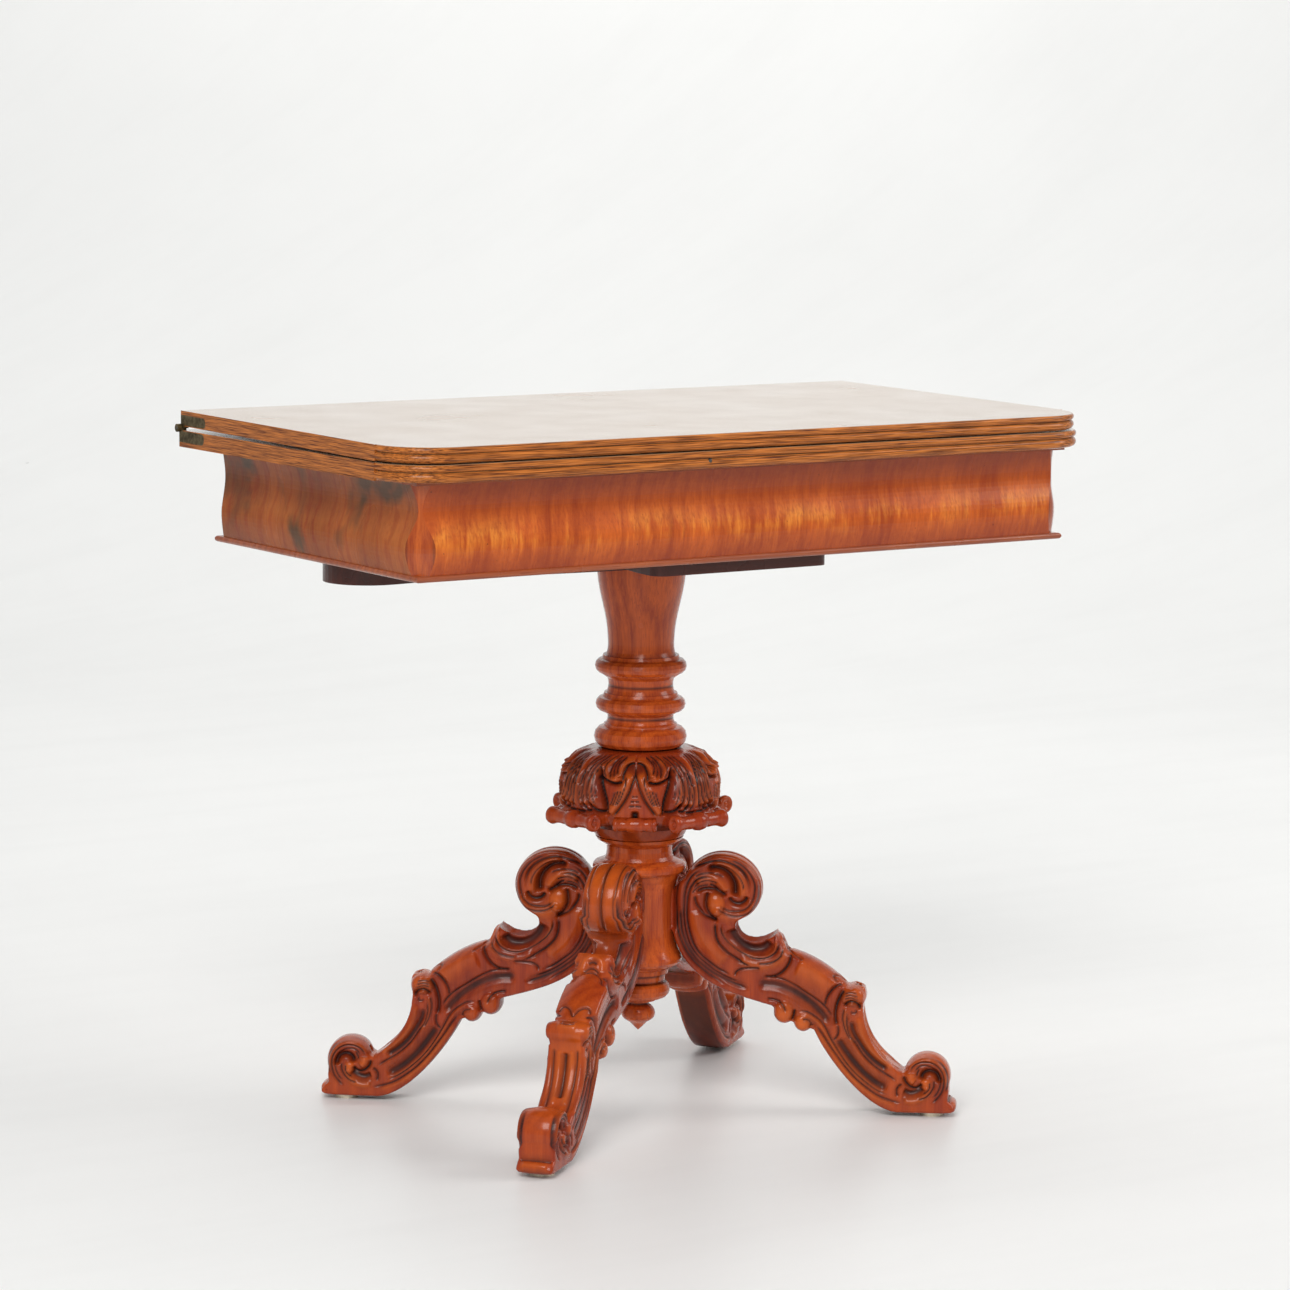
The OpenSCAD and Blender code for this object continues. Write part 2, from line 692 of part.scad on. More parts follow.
module column_shaft() color(wood) {
    translate([0, 0, z_shaft]) turned(fitted(shaft_outline, shaft_h, shaft_r));
    translate([0, 0, z_shaft + shaft_h - 1]) cylinder(h = top_tenon_h + 1, r = top_tenon_r);
    translate([0, 0, z_shaft - lower_tenon_h]) cylinder(h = lower_tenon_h + 1, r = tenon_r);
}

hub_socket = 60;
lower_tenon_h = bulb_h + hub_socket - 1;

// Carved bulb: a dome whose radius waves with the angle to give leaf ribs and a sunk panel
bulb_turns = 64;
bulb_rows = 15;
// Radius of the plain form at a share of its height: a narrow bowl, then the wide dome
bowl_r = 46;
bowl_top_r = 53;
function dome_base(s) = s < 0.135 ? bowl_r + (bowl_top_r - bowl_r) * sqrt(s / 0.135) :
    s < 0.35 ? bowl_top_r + (dome_r - bowl_top_r) * sqrt((s - 0.135) / 0.215) :
    min(dome_r, 48 + (dome_r - 48) * sqrt(max(0, 1 - pow(max(0, s - 0.5) / 0.5, 2.2))));
// Angle from the nearest corner leaf, in degrees
function leaf_angle(a) = abs(((a - bulb_turn + 360) % 90) - 45);
function relief(a, s) = let (d = leaf_angle(a), up = sin(180 * min(1, max(0, (s - 0.12) / 0.84))))
    d < 27 ? (2.6 * cos(d * 26) - 1.2 + 2 * cos(d * 3)) * up
    : (-4.5 + 2.2 * sin(180 * min(1, max(0, (s - 0.62) / 0.3)))) * up;
function bulb_point(a, s) = let (r = dome_base(s) + relief(a, s))
    [r * cos(a), r * sin(a), s * bulb_h];
bulb_points = concat(
    [for (j = [0:bulb_rows]) for (i = [0:bulb_turns - 1])
        bulb_point(360 * i / bulb_turns, j / bulb_rows)],
    [[0, 0, 0], [0, 0, bulb_h]]);
bulb_faces = concat(
    [for (j = [0:bulb_rows - 1]) for (i = [0:bulb_turns - 1]) let (k = (i + 1) % bulb_turns)
        each [[j * bulb_turns + i, (j + 1) * bulb_turns + k, j * bulb_turns + k],
            [j * bulb_turns + i, (j + 1) * bulb_turns + i, (j + 1) * bulb_turns + k]]],
    [for (i = [0:bulb_turns - 1]) let (k = (i + 1) % bulb_turns)
        [i, k, bulb_turns * (bulb_rows + 1)]],
    [for (i = [0:bulb_turns - 1]) let (k = (i + 1) % bulb_turns, top = bulb_turns * bulb_rows)
        [top + k, top + i, bulb_turns * (bulb_rows + 1) + 1]]);

// Lip of a leaf or panel that spreads from the dome out to its roll
module roll_lip(l, t) translate([0, 0, -t / 2]) linear_extrude(t)
    polygon([[-40, -l * 0.38], [0, -l / 2], [0, l / 2], [-40, l * 0.38]]);

// Outward-rolled end of a corner leaf with a boss at each end
module leaf_scroll() translate([scroll_reach, 0, bulb_h * 0.29]) {
    roll_lip(scroll_l - 8, scroll_r);
    rotate([90, 0, 0]) {
        cylinder(h = scroll_l, r = scroll_r - 0.8, center = true);
        cylinder(h = scroll_l + 4, r = scroll_r * 0.55, center = true);
        for (side = [-1, 1]) translate([0, 0, side * (scroll_l / 2 - 3)])
            cylinder(h = 6, r = scroll_r, center = true);
        cylinder(h = scroll_l / 4, r = scroll_r, center = true);
    }
}

// Rolled bottom edge and arch of a panel
panel_roll_r = 6.5;
panel_roll_l = 54;
module panel_roll() {
    translate([dome_r - 5, 0, bulb_h * 0.26]) roll_lip(panel_roll_l - 6, panel_roll_r);
    translate([dome_r - 5, 0, bulb_h * 0.26]) rotate([90, 0, 0]) {
        cylinder(h = panel_roll_l - 6, r = panel_roll_r - 0.8, center = true);
        for (side = [-1, 1]) translate([0, 0, side * (panel_roll_l / 2 - 3)])
            cylinder(h = 6, r = panel_roll_r, center = true);
        cylinder(h = 17, r = panel_roll_r + 1.2, center = true);
    }
    translate([dome_r - 8, 0, bulb_h * 0.7]) rotate([0, 82, 0]) rotate([0, 0, 90])
        rotate_extrude(angle = 180) translate([20, 0]) circle(r = 5);
}

module carved_bulb() color(wood) translate([0, 0, z_bulb]) difference() {
    union() {
        polyhedron(points = bulb_points, faces = bulb_faces);
        for (i = [0:3]) {
            rotate([0, 0, bulb_turn + 45 + 90 * i]) leaf_scroll();
            rotate([0, 0, bulb_turn + 90 * i]) panel_roll();
        }
    }
    translate([0, 0, -1]) cylinder(h = bulb_h + 2, r = tenon_r);
}

// Hub as drawn on the lathe template: [height above its underside, radius]
hub_outline = concat(
    [[0, 34]],
    bez([0, 40], [3, 48], [8, 49], [12, 46.5], 4),
    bez([12, 46.5], [24, 38], [45, 38], [60, 38], 6),
    bez([60, 38], [85, 38], [96, 40], [101, 46], 6),
    ring(109, 45.5, 6), [[117, 41]],
    bez([118, 38], [121, 35], [133, 35], [137, 37], 4),
    [[139, 46], [142.5, 48]]);

module hub_blank() translate([0, 0, z_hub]) turned(fitted(hub_outline, hub_h, hub_r));

module leg_hub() color(wood) difference() {
    hub_blank();
    translate([0, 0, z_hub + hub_h - hub_socket]) cylinder(h = hub_socket + 1, r = tenon_r);
    translate([0, 0, z_hub - 1]) cylinder(h = finial_tenon_h + 1.5, r = finial_tenon_r);
    each_leg() leg_tenon(0);
    leg_screw_space();
}

finial_tenon_r = 9;
finial_tenon_h = 22;

// Drop finial as drawn on the lathe template: [drop below the hub, radius]
finial_outline = concat(
    [[0, 37]], [[2, 37], [4, 33], [9, 32.5], [10, 29], [17, 29], [18, 31]],
    ring(27, 26, 9.5), [[37, 26], [38.5, 19.5], [40, 19], [41, 12.5]],
    bez([41, 12.5], [43, 10.5], [44, 11], [46, 14], 4),
    bez([46, 14], [50, 19], [58, 21], [62, 14], 6),
    bez([62, 14], [65, 8], [68.5, 6], [72.5, 2], 5), [[73.5, 0.5]]);

module drop_finial() color(wood) {
    translate([0, 0, z_hub]) mirror([0, 0, 1])
        turned(fitted(finial_outline, finial_h, finial_r));
    translate([0, 0, z_hub - 1]) cylinder(h = finial_tenon_h + 1, r = finial_tenon_r);
}

// Legs: outlines are [distance from the column's axis, height above the foot]

volute_c = [92, 236];
// The volute tightens to a smaller curl on its way down
curl_r = 35;
curl_turn = 30;
curl_c = volute_c + (volute_r - curl_r) * [cos(curl_turn), sin(curl_turn)];
knee_c = [237, 126.5];
foot_c = [foot_reach - 5, foot_r + 14];
foot_top = [foot_reach - 30, 44.8];
small_ball = [181.5, 96];
small_ball_r = 10.5;
big_ball = [161, 106];
big_ball_r = 12;
root_x = 30;

function under_upper(n = 10) = bez([149, 113], [120, 124], [50, 130], [38, 196], n);
function under_lower(n = 12) = bez([foot_reach - 37, 0], [foot_reach - 68, 1], [212, 50],
    [191.5, 91], n);
function leaf_hollow(n = 8) = bez([108.5, 203], [107.5, 183], [134.5, 178], [150.5, 196], n);
function panel_top(n = 6) = bez([164.5, 176], [188, 171], [211, 157], [230, 138.5], n);
function shin_top(n = 8) = bez([247.5, 116], [246, 94], [258, 64], foot_top, n);

leg_outline = concat(
    [[root_x, 200], [root_x, 238], [40, 240]],
    bez([40, 240], [43, 246], [46, 250], volute_c + volute_r * [cos(157), sin(157)], 3),
    arc(volute_c, volute_r, 157, curl_turn, 14),
    arc(curl_c, curl_r, curl_turn - 8, -76, 12),
    leaf_hollow(),
    bez([150.5, 196], [157.5, 193], [159.5, 182], [164.5, 176], 4),
    panel_top(),
    arc(knee_c, knee_r, 122, -40, 9),
    shin_top(),
    arc(foot_c, foot_r, 168, -22, 16),
    bez([foot_reach + 19.2, 26.5], [foot_reach + 19.8, 23], [foot_reach + 19.2, 19],
        [foot_reach + 18, 16], 3),
    bez([foot_reach + 18, 16], [foot_reach + 24, 13], [foot_reach + 31, 6],
        [foot_reach + 24, 1.2], 5),
    [[foot_reach + 22, 0.8], [foot_reach + 13, 0]],
    under_lower(),
    arc(small_ball, small_ball_r, 0, -165, 8),
    arc(big_ball, big_ball_r, -45, -188, 8),
    under_upper(),
    [[38, 196]]);

// A curve moved sideways by a distance, to the left of its direction
function shifted(p, d) = [for (i = [0:len(p) - 1])
    let (a = p[max(0, i - 1)], b = p[min(len(p) - 1, i + 1)], v = (b - a) / norm(b - a))
    p[i] + d * [-v[1], v[0]]];

// Sunk panel of the upper scroll, between its lower border and the volute
upper_panel = concat(
    shifted(under_upper(12), -leg_border),
    [[48, 205], [52, 222], [60, 214], [70, 200], [88, 190], [104, 186]],
    [for (p = leaf_hollow(6)) if (p[1] < 200) p + [2, -leg_border]]);

// Sunk flute of the shin, between the knee and the foot
lower_panel = concat(
    [for (p = shin_top(8)) p + [-leg_border, -3]],
    [[foot_reach - 30, 26], [foot_reach - 38, 14]],
    [for (p = under_lower(8)) if (p[0] < foot_reach - 44) p + [3, leg_border]],
    [[204, 104], [226, 112]]);

module panel_sinks(outline) for (side = [-1, 1])
    translate([0, 0, side * (leg_t / 2 + 5 - panel_sink)])
    linear_extrude(10, center = true) polygon(outline);

// Groove that follows the volute round on both faces
module volute_groove(r, w, a0, a1) for (side = [-1, 1])
    translate([volute_c[0], volute_c[1], side * leg_t / 2]) rotate([0, 0, a0])
    rotate_extrude(angle = a1 - a0) translate([r, 0]) circle(r = w, $fn = 16);

// Groove between the two flutes on the volute's outer face
module volute_flutes() {
    translate([volute_c[0], volute_c[1], 0]) rotate([0, 0, curl_turn])
        rotate_extrude(angle = 107) translate([volute_r, 0]) circle(r = 1.6, $fn = 16);
    translate([curl_c[0], curl_c[1], 0]) rotate([0, 0, -60])
        rotate_extrude(angle = 60 + curl_turn) translate([curl_r, 0]) circle(r = 1.6, $fn = 16);
}

// Long slot sunk in the front of the shin
shin_slot_w = 7;
shin_slot_depth = 3;
module shin_slot() {
    front = [for (i = [2:13]) shin_top(18)[i]];
    back = shifted(front, -shin_slot_depth);
    linear_extrude(shin_slot_w, center = true) polygon(concat(
        [for (p = front) p + [1, 1]], [for (i = [len(back) - 1:-1:0]) back[i]]));
}

module leg_solid() difference() {
    union() {
        linear_extrude(leg_t, center = true) polygon(leg_outline);
        translate([volute_c[0] - 5, volute_c[1] - 13, 0])
            cylinder(h = leg_t + 8, r = volute_r * 0.37, center = true);
        translate([volute_c[0] - 5, volute_c[1] - 13, 0])
            cylinder(h = leg_t + 13, r = volute_r * 0.22, center = true);
        translate([knee_c[0], knee_c[1], 0])
            cylinder(h = leg_t + 6, r = knee_r, center = true);
        translate([foot_c[0], foot_c[1], 0])
            cylinder(h = leg_t + 4, r = foot_r * 0.55, center = true);
        translate([small_ball[0], small_ball[1], 0])
            cylinder(h = leg_t + 3, r = small_ball_r, center = true);
        translate([big_ball[0], big_ball[1], 0])
            cylinder(h = leg_t + 3, r = big_ball_r, center = true);
    }
    panel_sinks(upper_panel);
    panel_sinks(lower_panel);
    volute_groove(volute_r - 8, 2.2, -12, 165);
    volute_groove(volute_r - 18, 3.5, -20, 170);
    volute_flutes();
    shin_slot();
}

tenon_w = 14;

module leg_tenon(shrink) translate([root_x - 4, -tenon_w / 2 + shrink, glide_h + 192])
    cube([20, tenon_w - 2 * shrink, 44]);

module place_leg(a) rotate([0, 0, a]) children();

function leg_angles() = [180 + leg_angle, -leg_angle, 180 - leg_angle, leg_angle];

module each_leg() for (a = leg_angles()) place_leg(a) children();

module leg(a) color(wood) place_leg(a) difference() {
    union() {
        difference() {
            translate([0, 0, glide_h]) rotate([90, 0, 0]) leg_solid();
            hub_blank();
        }
        intersection() {
            leg_tenon(0);
            translate([0, 0, z_hub]) cylinder(h = hub_h, r = 60);
        }
    }
    leg_screw_shape(9);
    translate([foot_reach, 0, -1]) cylinder(h = nail_l + 1 + glide_h / 2, r = nail_r);
}

module leg_front_left() leg(180 + leg_angle);
module leg_front_right() leg(-leg_angle);
module leg_back_left() leg(180 - leg_angle);
module leg_back_right() leg(leg_angle);

// Screws come up through the underside of each leg: a long one leans in and locks the
// tenon in the hub, a short one stands square to the surface. [reach, height, lean, length]
leg_screw_spots = [[74, 141, -30.6, 80], [118, 121.5, 17, 44]];
leg_screw_r = 2.2;
leg_screw_head_r = 4.5;
leg_screw_head_h = 4;
head_sink = 2;

// The way is left open from the surface down to the sunk head
module leg_screw_shape(way) for (p = leg_screw_spots)
    translate([p[0], 0, glide_h + p[1]]) rotate([0, p[2], 0]) {
        cylinder(h = p[3], r = leg_screw_r);
        translate([0, 0, head_sink - way]) cylinder(h = leg_screw_head_h + way,
            r = leg_screw_head_r);
    }

module leg_screw_space() each_leg() leg_screw_shape(9);

module leg_screws() color(brass) each_leg() leg_screw_shape(0);

nail_r = 1.5;
nail_l = 18;

module each_foot() each_leg() translate([foot_reach, 0, 0]) children();

module glides() color(brass) each_foot() difference() {
    cylinder(h = glide_h, r = glide_r);
    translate([0, 0, glide_h / 2]) cylinder(h = glide_h, r = nail_r);
}

module glide_nails() color(steel) each_foot() translate([0, 0, glide_h / 2])
    cylinder(h = nail_l, r = nail_r);

leaf_upper();
leaf_lower();
baize_upper();
baize_lower();
hinge_plates_upper();
hinge_plates_lower();
hinge_pins();
hinge_screws_upper();
hinge_screws_lower();
edge_pin();
frieze_front();
frieze_back();
frieze_left();
frieze_right();
corner_blocks();
cap_fillet();
bottom_bead();
box_floor();
well_partition();
pivot_rail();
pivot_bolt();
pivot_screws();
pivot_washer();
pivot_nut();
stop_peg();
long_bearer();
cross_bearer();
bearer_screws();
column_shaft();
carved_bulb();
leg_hub();
drop_finial();
leg_front_left();
leg_front_right();
leg_back_left();
leg_back_right();
leg_screws();
glides();
glide_nails();
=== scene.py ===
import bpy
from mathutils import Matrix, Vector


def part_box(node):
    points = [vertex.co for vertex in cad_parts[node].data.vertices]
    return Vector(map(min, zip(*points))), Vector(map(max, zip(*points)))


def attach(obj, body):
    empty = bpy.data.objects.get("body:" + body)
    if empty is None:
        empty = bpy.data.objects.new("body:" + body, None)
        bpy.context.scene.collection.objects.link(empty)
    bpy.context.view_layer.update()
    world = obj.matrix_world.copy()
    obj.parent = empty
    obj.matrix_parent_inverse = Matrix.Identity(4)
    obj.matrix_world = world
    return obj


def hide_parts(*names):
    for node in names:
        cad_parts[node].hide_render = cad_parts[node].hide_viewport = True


bl_info = {
    "name": "Games Table Looks",
    "version": (1, 0, 0),
    "blender": (4, 5, 0),
    "location": "3D View > Sidebar > Games Table",
    "description": "Carving, veneers, brassware and studio for a fold-over games table",
    "category": "Object",
}

import math

import bmesh
import bpy
import numpy as np
from bpy.props import FloatProperty, FloatVectorProperty, IntProperty, PointerProperty
from mathutils import Matrix, Vector

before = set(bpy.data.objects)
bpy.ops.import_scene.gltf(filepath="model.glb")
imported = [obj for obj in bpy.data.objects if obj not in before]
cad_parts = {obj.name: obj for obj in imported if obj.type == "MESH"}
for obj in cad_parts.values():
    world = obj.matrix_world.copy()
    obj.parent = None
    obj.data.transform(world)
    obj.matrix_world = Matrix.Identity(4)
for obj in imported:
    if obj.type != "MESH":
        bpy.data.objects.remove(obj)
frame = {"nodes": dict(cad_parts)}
MM = 0.001
# Degrees round the column, from the long axis: one panel of the bulb, and each leg
PANEL_TURN = 233.2
LEG_TURNS = {"leg_front_left": 219, "leg_front_right": -39,
             "leg_back_right": 39, "leg_back_left": 141}
# Millimetres: half a leg's thickness, how far in from its edge the narrow faces are shaped,
# and how much each side is sawn away where the leg meets the hub
LEG_HALF = 20.0
RIM_BAND = 14
ROOT_SAWN = 9
# Millimetres: the bulb's underside above the floor, its height, its greatest radius and the
# radius of its bore, and the height of the glides under the feet
BULB_BOTTOM = 300.5
BULB_HEIGHT = 97.5
BULB_RADIUS = 88
BULB_BORE = 16.2
GLIDE_HEIGHT = 4
# Metres: how far up and down a turned hollow is looked for, how deep it has to be, and how far
# the painted shade spreads from it
HOLLOW_REACH = 0.009
HOLLOW_DEPTH = 0.0008
HOLLOW_SHADE_SPREAD = 0.0026
# Metres: height at which the frieze swells most, and from a corner slip's middle to its joints
FRIEZE_BELLY = 0.664
JOINT_NEAR = 0.017
JOINT_FAR = 0.019
# Turns that lay the wood's grain, drawn along X, upright in a piece along X or along Y
UPRIGHT = (0, math.pi / 2, 0)
UPRIGHT_ACROSS = (0, math.pi / 2, math.pi / 2)
# The fitted camera: degrees round the column, above the floor and of roll, then its place
CAMERA_TURNS = (-33.33, 7.8, 0.46)
CAMERA_PLACE = (-2.70122, -4.1153, 1.18311)


# Settings

def colour(name, value, words):
    return FloatVectorProperty(name=name, description=words, subtype="COLOR", size=3,
                               min=0, max=1, default=value)


class TableColours(bpy.types.PropertyGroup):
    polish: colour("Polish", (0.2, 0.016, 0.006), "Red-brown polish of the legs")
    polish_mid: colour("Carved ground", (0.44, 0.06, 0.01), "Ground of the carving")
    # Worn polish: colour of the raised carving, standing for worn polish and a painted highlight
    polish_lit: colour("Worn polish", (0.72, 0.145, 0.016), "Polish where hands rubbed it thin")
    # Recess: colour of the painted shade in the carving's cuts and the turned hollows; also of the
    # dents in the flame veneer and the corner slips' joints
    recess: colour("Recess", (0.016, 0.004, 0.004), "Old wax and dirt in the carving")
    turned: colour("Turned wood", (0.74, 0.135, 0.018), "Light fibres of the column")
    turned_dark: colour("Turned shade", (0.26, 0.022, 0.007), "Dark fibres of the column")
    flame: colour("Flame", (0.72, 0.15, 0.018), "Bright stripe of the flame veneer")
    flame_dark: colour("Flame shade", (0.2, 0.017, 0.006), "Dark stripe of the flame veneer")
    # Flame gold: colour of the painted highlight along the frieze's belly
    gold_highlight: colour("Flame gold", (0.84, 0.3, 0.04), "Golden middle of the flame veneer")
    side: colour("Side", (0.44, 0.125, 0.03), "Plainer veneer of the frieze's ends")
    side_dark: colour("Side shade", (0.2, 0.05, 0.014), "Dark fibres of the frieze's ends")
    knot: colour("Knot", (0.06, 0.045, 0.025), "Dark blotches on the frieze's ends")
    slip: colour("Corner slip", (0.6, 0.13, 0.02), "Rounded slips at the box's corners")
    edge: colour("Leaf edge", (0.6, 0.19, 0.036), "Straight-grained edges of the leaves")
    edge_dark: colour("Leaf edge shade", (0.1, 0.024, 0.008), "Dark streaks in the leaves' edges")
    # Top: pale partly for the veneer's faded tone and partly as a painted reflection of the pale
    # studio
    top: colour("Top", (0.5, 0.3, 0.15), "Sun-bleached veneer of the top")
    top_dark: colour("Top shade", (0.36, 0.24, 0.15), "Dark fibres of the top")
    frame: colour("Moulding", (0.5, 0.13, 0.035), "Fillet and bead of the box")
    frame_dark: colour("Moulding shade", (0.2, 0.035, 0.012), "Dark fibres of the mouldings")
    under: colour("Bearers", (0.1, 0.024, 0.015), "Stained wood under the box")
    brass: colour("Brass", (0.2, 0.15, 0.075), "Tarnished brass of the hinges")
    glide: colour("Glides", (0.85, 0.78, 0.62), "Pale brass under the feet")
    steel: colour("Steel", (0.16, 0.15, 0.14), "Dull steel of pins, bolt and screws")
    baize: colour("Baize", (0.02, 0.12, 0.05), "Green cloth on the playing faces")


class CarvingSizes(bpy.types.PropertyGroup):
    skin: FloatProperty(name="Skin", description="Mesh size of the carved skin, millimetres",
                        default=1.15, min=0.8, max=4)
    cut: FloatProperty(name="Cut", description="Strength of all carved lines on the legs",
                       default=1.0, min=0, max=2)
    bulb_turns: IntProperty(name="Bulb turns", description="Points round the carved bulb",
                            default=420, min=90, max=600)


class StudioSettings(bpy.types.PropertyGroup):
    lens: FloatProperty(name="Lens", description="Focal length on a 36 mm sensor",
                        default=128.22, min=35, max=300)
    key: FloatProperty(name="Key", description="Power of the large lamp", default=190,
                       min=0, subtype="POWER")
    fill: FloatProperty(name="Fill", description="Power of the small lamp", default=60,
                        min=0, subtype="POWER")
    wash: FloatProperty(name="Wash", description="Power of the lamp on the backdrop",
                        default=102, min=0, subtype="POWER")
    paper: colour("Paper", (0.88, 0.885, 0.88), "Floor and backdrop")


def colours():
    return bpy.context.scene.table_colours


# Shader building

class Shader:
    """A material or a group with short calls to add and link nodes"""

    def __init__(self, tree):
        self.tree = tree
        self.tree.nodes.clear()

    def add(self, kind, inputs=None, **settings):
        node = self.tree.nodes.new("ShaderNode" + kind)
        for key, value in settings.items():
            setattr(node, key, value)
        for key, value in (inputs or {}).items():
            self.feed(node.inputs[key], value)
        return node

    def feed(self, socket, value):
        if isinstance(value, bpy.types.NodeSocket):
            self.tree.links.new(value, socket)
        elif hasattr(value, "__len__") and len(value) == 3 and socket.type == "RGBA":
            socket.default_value = (*value, 1)
        else:
            socket.default_value = value

    def math(self, kind, a, b=0.5, c=0.0):
        return self.add("Math", {0: a, 1: b, 2: c}, operation=kind).outputs[0]

    def clamp(self, value):
        return self.add("Clamp", {0: value}).outputs[0]

    def mix(self, amount, a, b):
        node = self.add("Mix", data_type="RGBA")
        for socket, value in ((0, amount), (6, a), (7, b)):
            self.feed(node.inputs[socket], value)
        return node.outputs[2]

    def span(self, value, low, high, to_low=0.0, to_high=1.0):
        return self.add("MapRange", {0: value, 1: low, 2: high, 3: to_low, 4: to_high}).outputs[0]

    def split(self, vector):
        return self.add("SeparateXYZ", {0: vector}).outputs

    def stretch(self, place, size, turn=(0, 0, 0)):
        return self.add("Mapping", {"Vector": place, "Scale": size, "Rotation": turn}).outputs[0]

    def noise(self, place, scale, detail, rough, twist=0.0):
        return self.add("TexNoise", {"Vector": place, "Scale": scale, "Detail": detail,
                                     "Roughness": rough, "Distortion": twist}).outputs["Fac"]

    def wave(self, place, scale, twist, detail, detail_scale, rough):
        return self.add("TexWave", {"Vector": place, "Scale": scale, "Distortion": twist,
                                    "Detail": detail, "Detail Scale": detail_scale,
                                    "Detail Roughness": rough},
                        wave_type="BANDS", bands_direction="Y").outputs["Fac"]


def group(name, inputs, outputs):
    """A shared group of nodes whose inputs and outputs are given with their kinds"""
    tree = bpy.data.node_groups.new(name, "ShaderNodeTree")
    s = Shader(tree)
    for side, sockets in (("INPUT", inputs), ("OUTPUT", outputs)):
        for key, kind in sockets.items():
            tree.interface.new_socket(key, in_out=side, socket_type="NodeSocket" + kind)
    start = tree.nodes.new("NodeGroupInput")
    end = tree.nodes.new("NodeGroupOutput")
    return s, start.outputs, end.inputs


def wood_grain_group():
    """Long fibres with pores and slow bands; Vector runs along the grain in X"""
    s, given, out = group(
        "Wood grain", {"Vector": "Vector", "Light": "Color", "Dark": "Color", "Pores": "Float"},
        {"Color": "Color", "Height": "Float"})
    long_way = s.stretch(given["Vector"], (1.0, 9.0, 9.0))
    bend = s.noise(long_way, 2.2, 2, 0.5)
    wave = s.wave(long_way, 2.8, 5.0, 3.0, 1.6, 0.6)
    bands = s.math("MULTIPLY_ADD", wave, 0.55, s.math("MULTIPLY", bend, 0.45))
    fibre = s.noise(s.stretch(given["Vector"], (14.0, 420.0, 420.0)), 1.0, 3, 0.65)
    pore = s.noise(s.stretch(given["Vector"], (45.0, 900.0, 900.0)), 1.0, 1, 0.5)
    pore_mask = s.math("MULTIPLY", s.span(pore, 0.62, 0.72), given["Pores"])
    tone = s.math("MULTIPLY_ADD", s.span(fibre, 0.3, 0.7), 0.4,
                  s.math("MULTIPLY_ADD", s.span(bands, 0.25, 0.75), 0.3, 0.15))
    base = s.mix(tone, given["Dark"], given["Light"])
    s.feed(out["Color"], s.mix(s.math("MULTIPLY", pore_mask, 0.75), base, given["Dark"]))
    s.feed(out["Height"], s.math("SUBTRACT", s.math("MULTIPLY", fibre, 0.4), pore_mask))


def carving_group():
    """Painted shade in the cuts, and worn polish with a painted highlight on the high places, by the
    shade and ridge fed in
    """
    s, given, out = group(
        "Carving tone",
        {"Vector": "Vector", "Base": "Color", "Worn and lit": "Color", "Recess": "Color",
         "Depth": "Float", "Ridge": "Float"},
        {"Color": "Color", "Roughness": "Float"})
    patch = s.noise(given["Vector"], 26.0, 4, 0.55)
    broad = s.noise(given["Vector"], 7.0, 2, 0.5)
    # raised places are lighter: worn polish and a painted highlight
    worn = s.math("MULTIPLY", given["Ridge"], s.span(patch, 0.25, 0.75, 0.35, 1.0))
    tone = s.math("ADD", worn, s.span(broad, 0.35, 0.7, -0.15, 0.3))
    lit = s.mix(s.clamp(tone), given["Base"], given["Worn and lit"])
    # painted shade in the cuts and hollows, from the mask fed in
    shade_amount = s.math("MULTIPLY", given["Depth"], s.span(patch, 0.1, 0.6, 0.7, 1.1))
    s.feed(out["Color"], s.mix(s.clamp(shade_amount), lit, given["Recess"]))
    s.feed(out["Roughness"], s.math("MULTIPLY_ADD", given["Depth"], 0.3,
                                    s.span(patch, 0.3, 0.7, 0.14, 0.25)))


FINISHES = {}


def new_material(name):
    """Returns the shader, its Principled node and the place on the piece"""
    material = bpy.data.materials.new(name)
    FINISHES[name] = material
    material.use_nodes = True
    s = Shader(material.node_tree)
    end = s.add("OutputMaterial")
    body = s.add("BsdfPrincipled")
    s.tree.links.new(body.outputs[0], end.inputs[0])
    return s, body, s.add("TexCoord").outputs["Object"]


def use_group(s, name, inputs):
    node = s.add("Group")
    node.node_tree = bpy.data.node_groups[name]
    for key, value in inputs.items():
        s.feed(node.inputs[key], value)
    return node.outputs


def wood_grain(s, where, light, dark, pores, turn=(0, 0, 0)):
    return use_group(s, "Wood grain", {"Vector": s.stretch(where, (1, 1, 1), turn),
                                       "Light": light, "Dark": dark, "Pores": pores})


def surface(s, body, base, rough, coat, coat_rough, specular):
    """Feeds colour and roughness, and sets the coat of polish"""
    s.feed(body.inputs["Base Color"], base)
    s.feed(body.inputs["Roughness"], rough)
    body.inputs["Coat Weight"].default_value = coat
    body.inputs["Coat Roughness"].default_value = coat_rough
    body.inputs["Specular IOR Level"].default_value = specular


def bump(s, body, height, distance, strength):
    node = s.add("Bump", {"Height": height, "Distance": distance, "Strength": strength})
    s.feed(body.inputs["Normal"], node.outputs[0])


def carved_material():
    c = colours()
    s, body, where = new_material("carved_wood")
    # The first attribute is the painted shade of the cuts, hollows and undersides; the second is the
    # worn polish and painted highlight of the raised places
    depth, ridge = (s.add("Attribute", attribute_name=name).outputs["Fac"]
                    for name in ("cut_shade", "ridge"))
    grain = wood_grain(s, where, c.polish_mid, c.polish, 0.5, UPRIGHT)
    tone = use_group(s, "Carving tone", {"Vector": where, "Base": grain["Color"],
                                         "Worn and lit": c.polish_lit, "Recess": c.recess,
                                         "Depth": depth, "Ridge": ridge})
    surface(s, body, tone["Color"], tone["Roughness"], 0.16, 0.08, 0.24)
    bump(s, body, grain["Height"], 0.0002, 0.35)


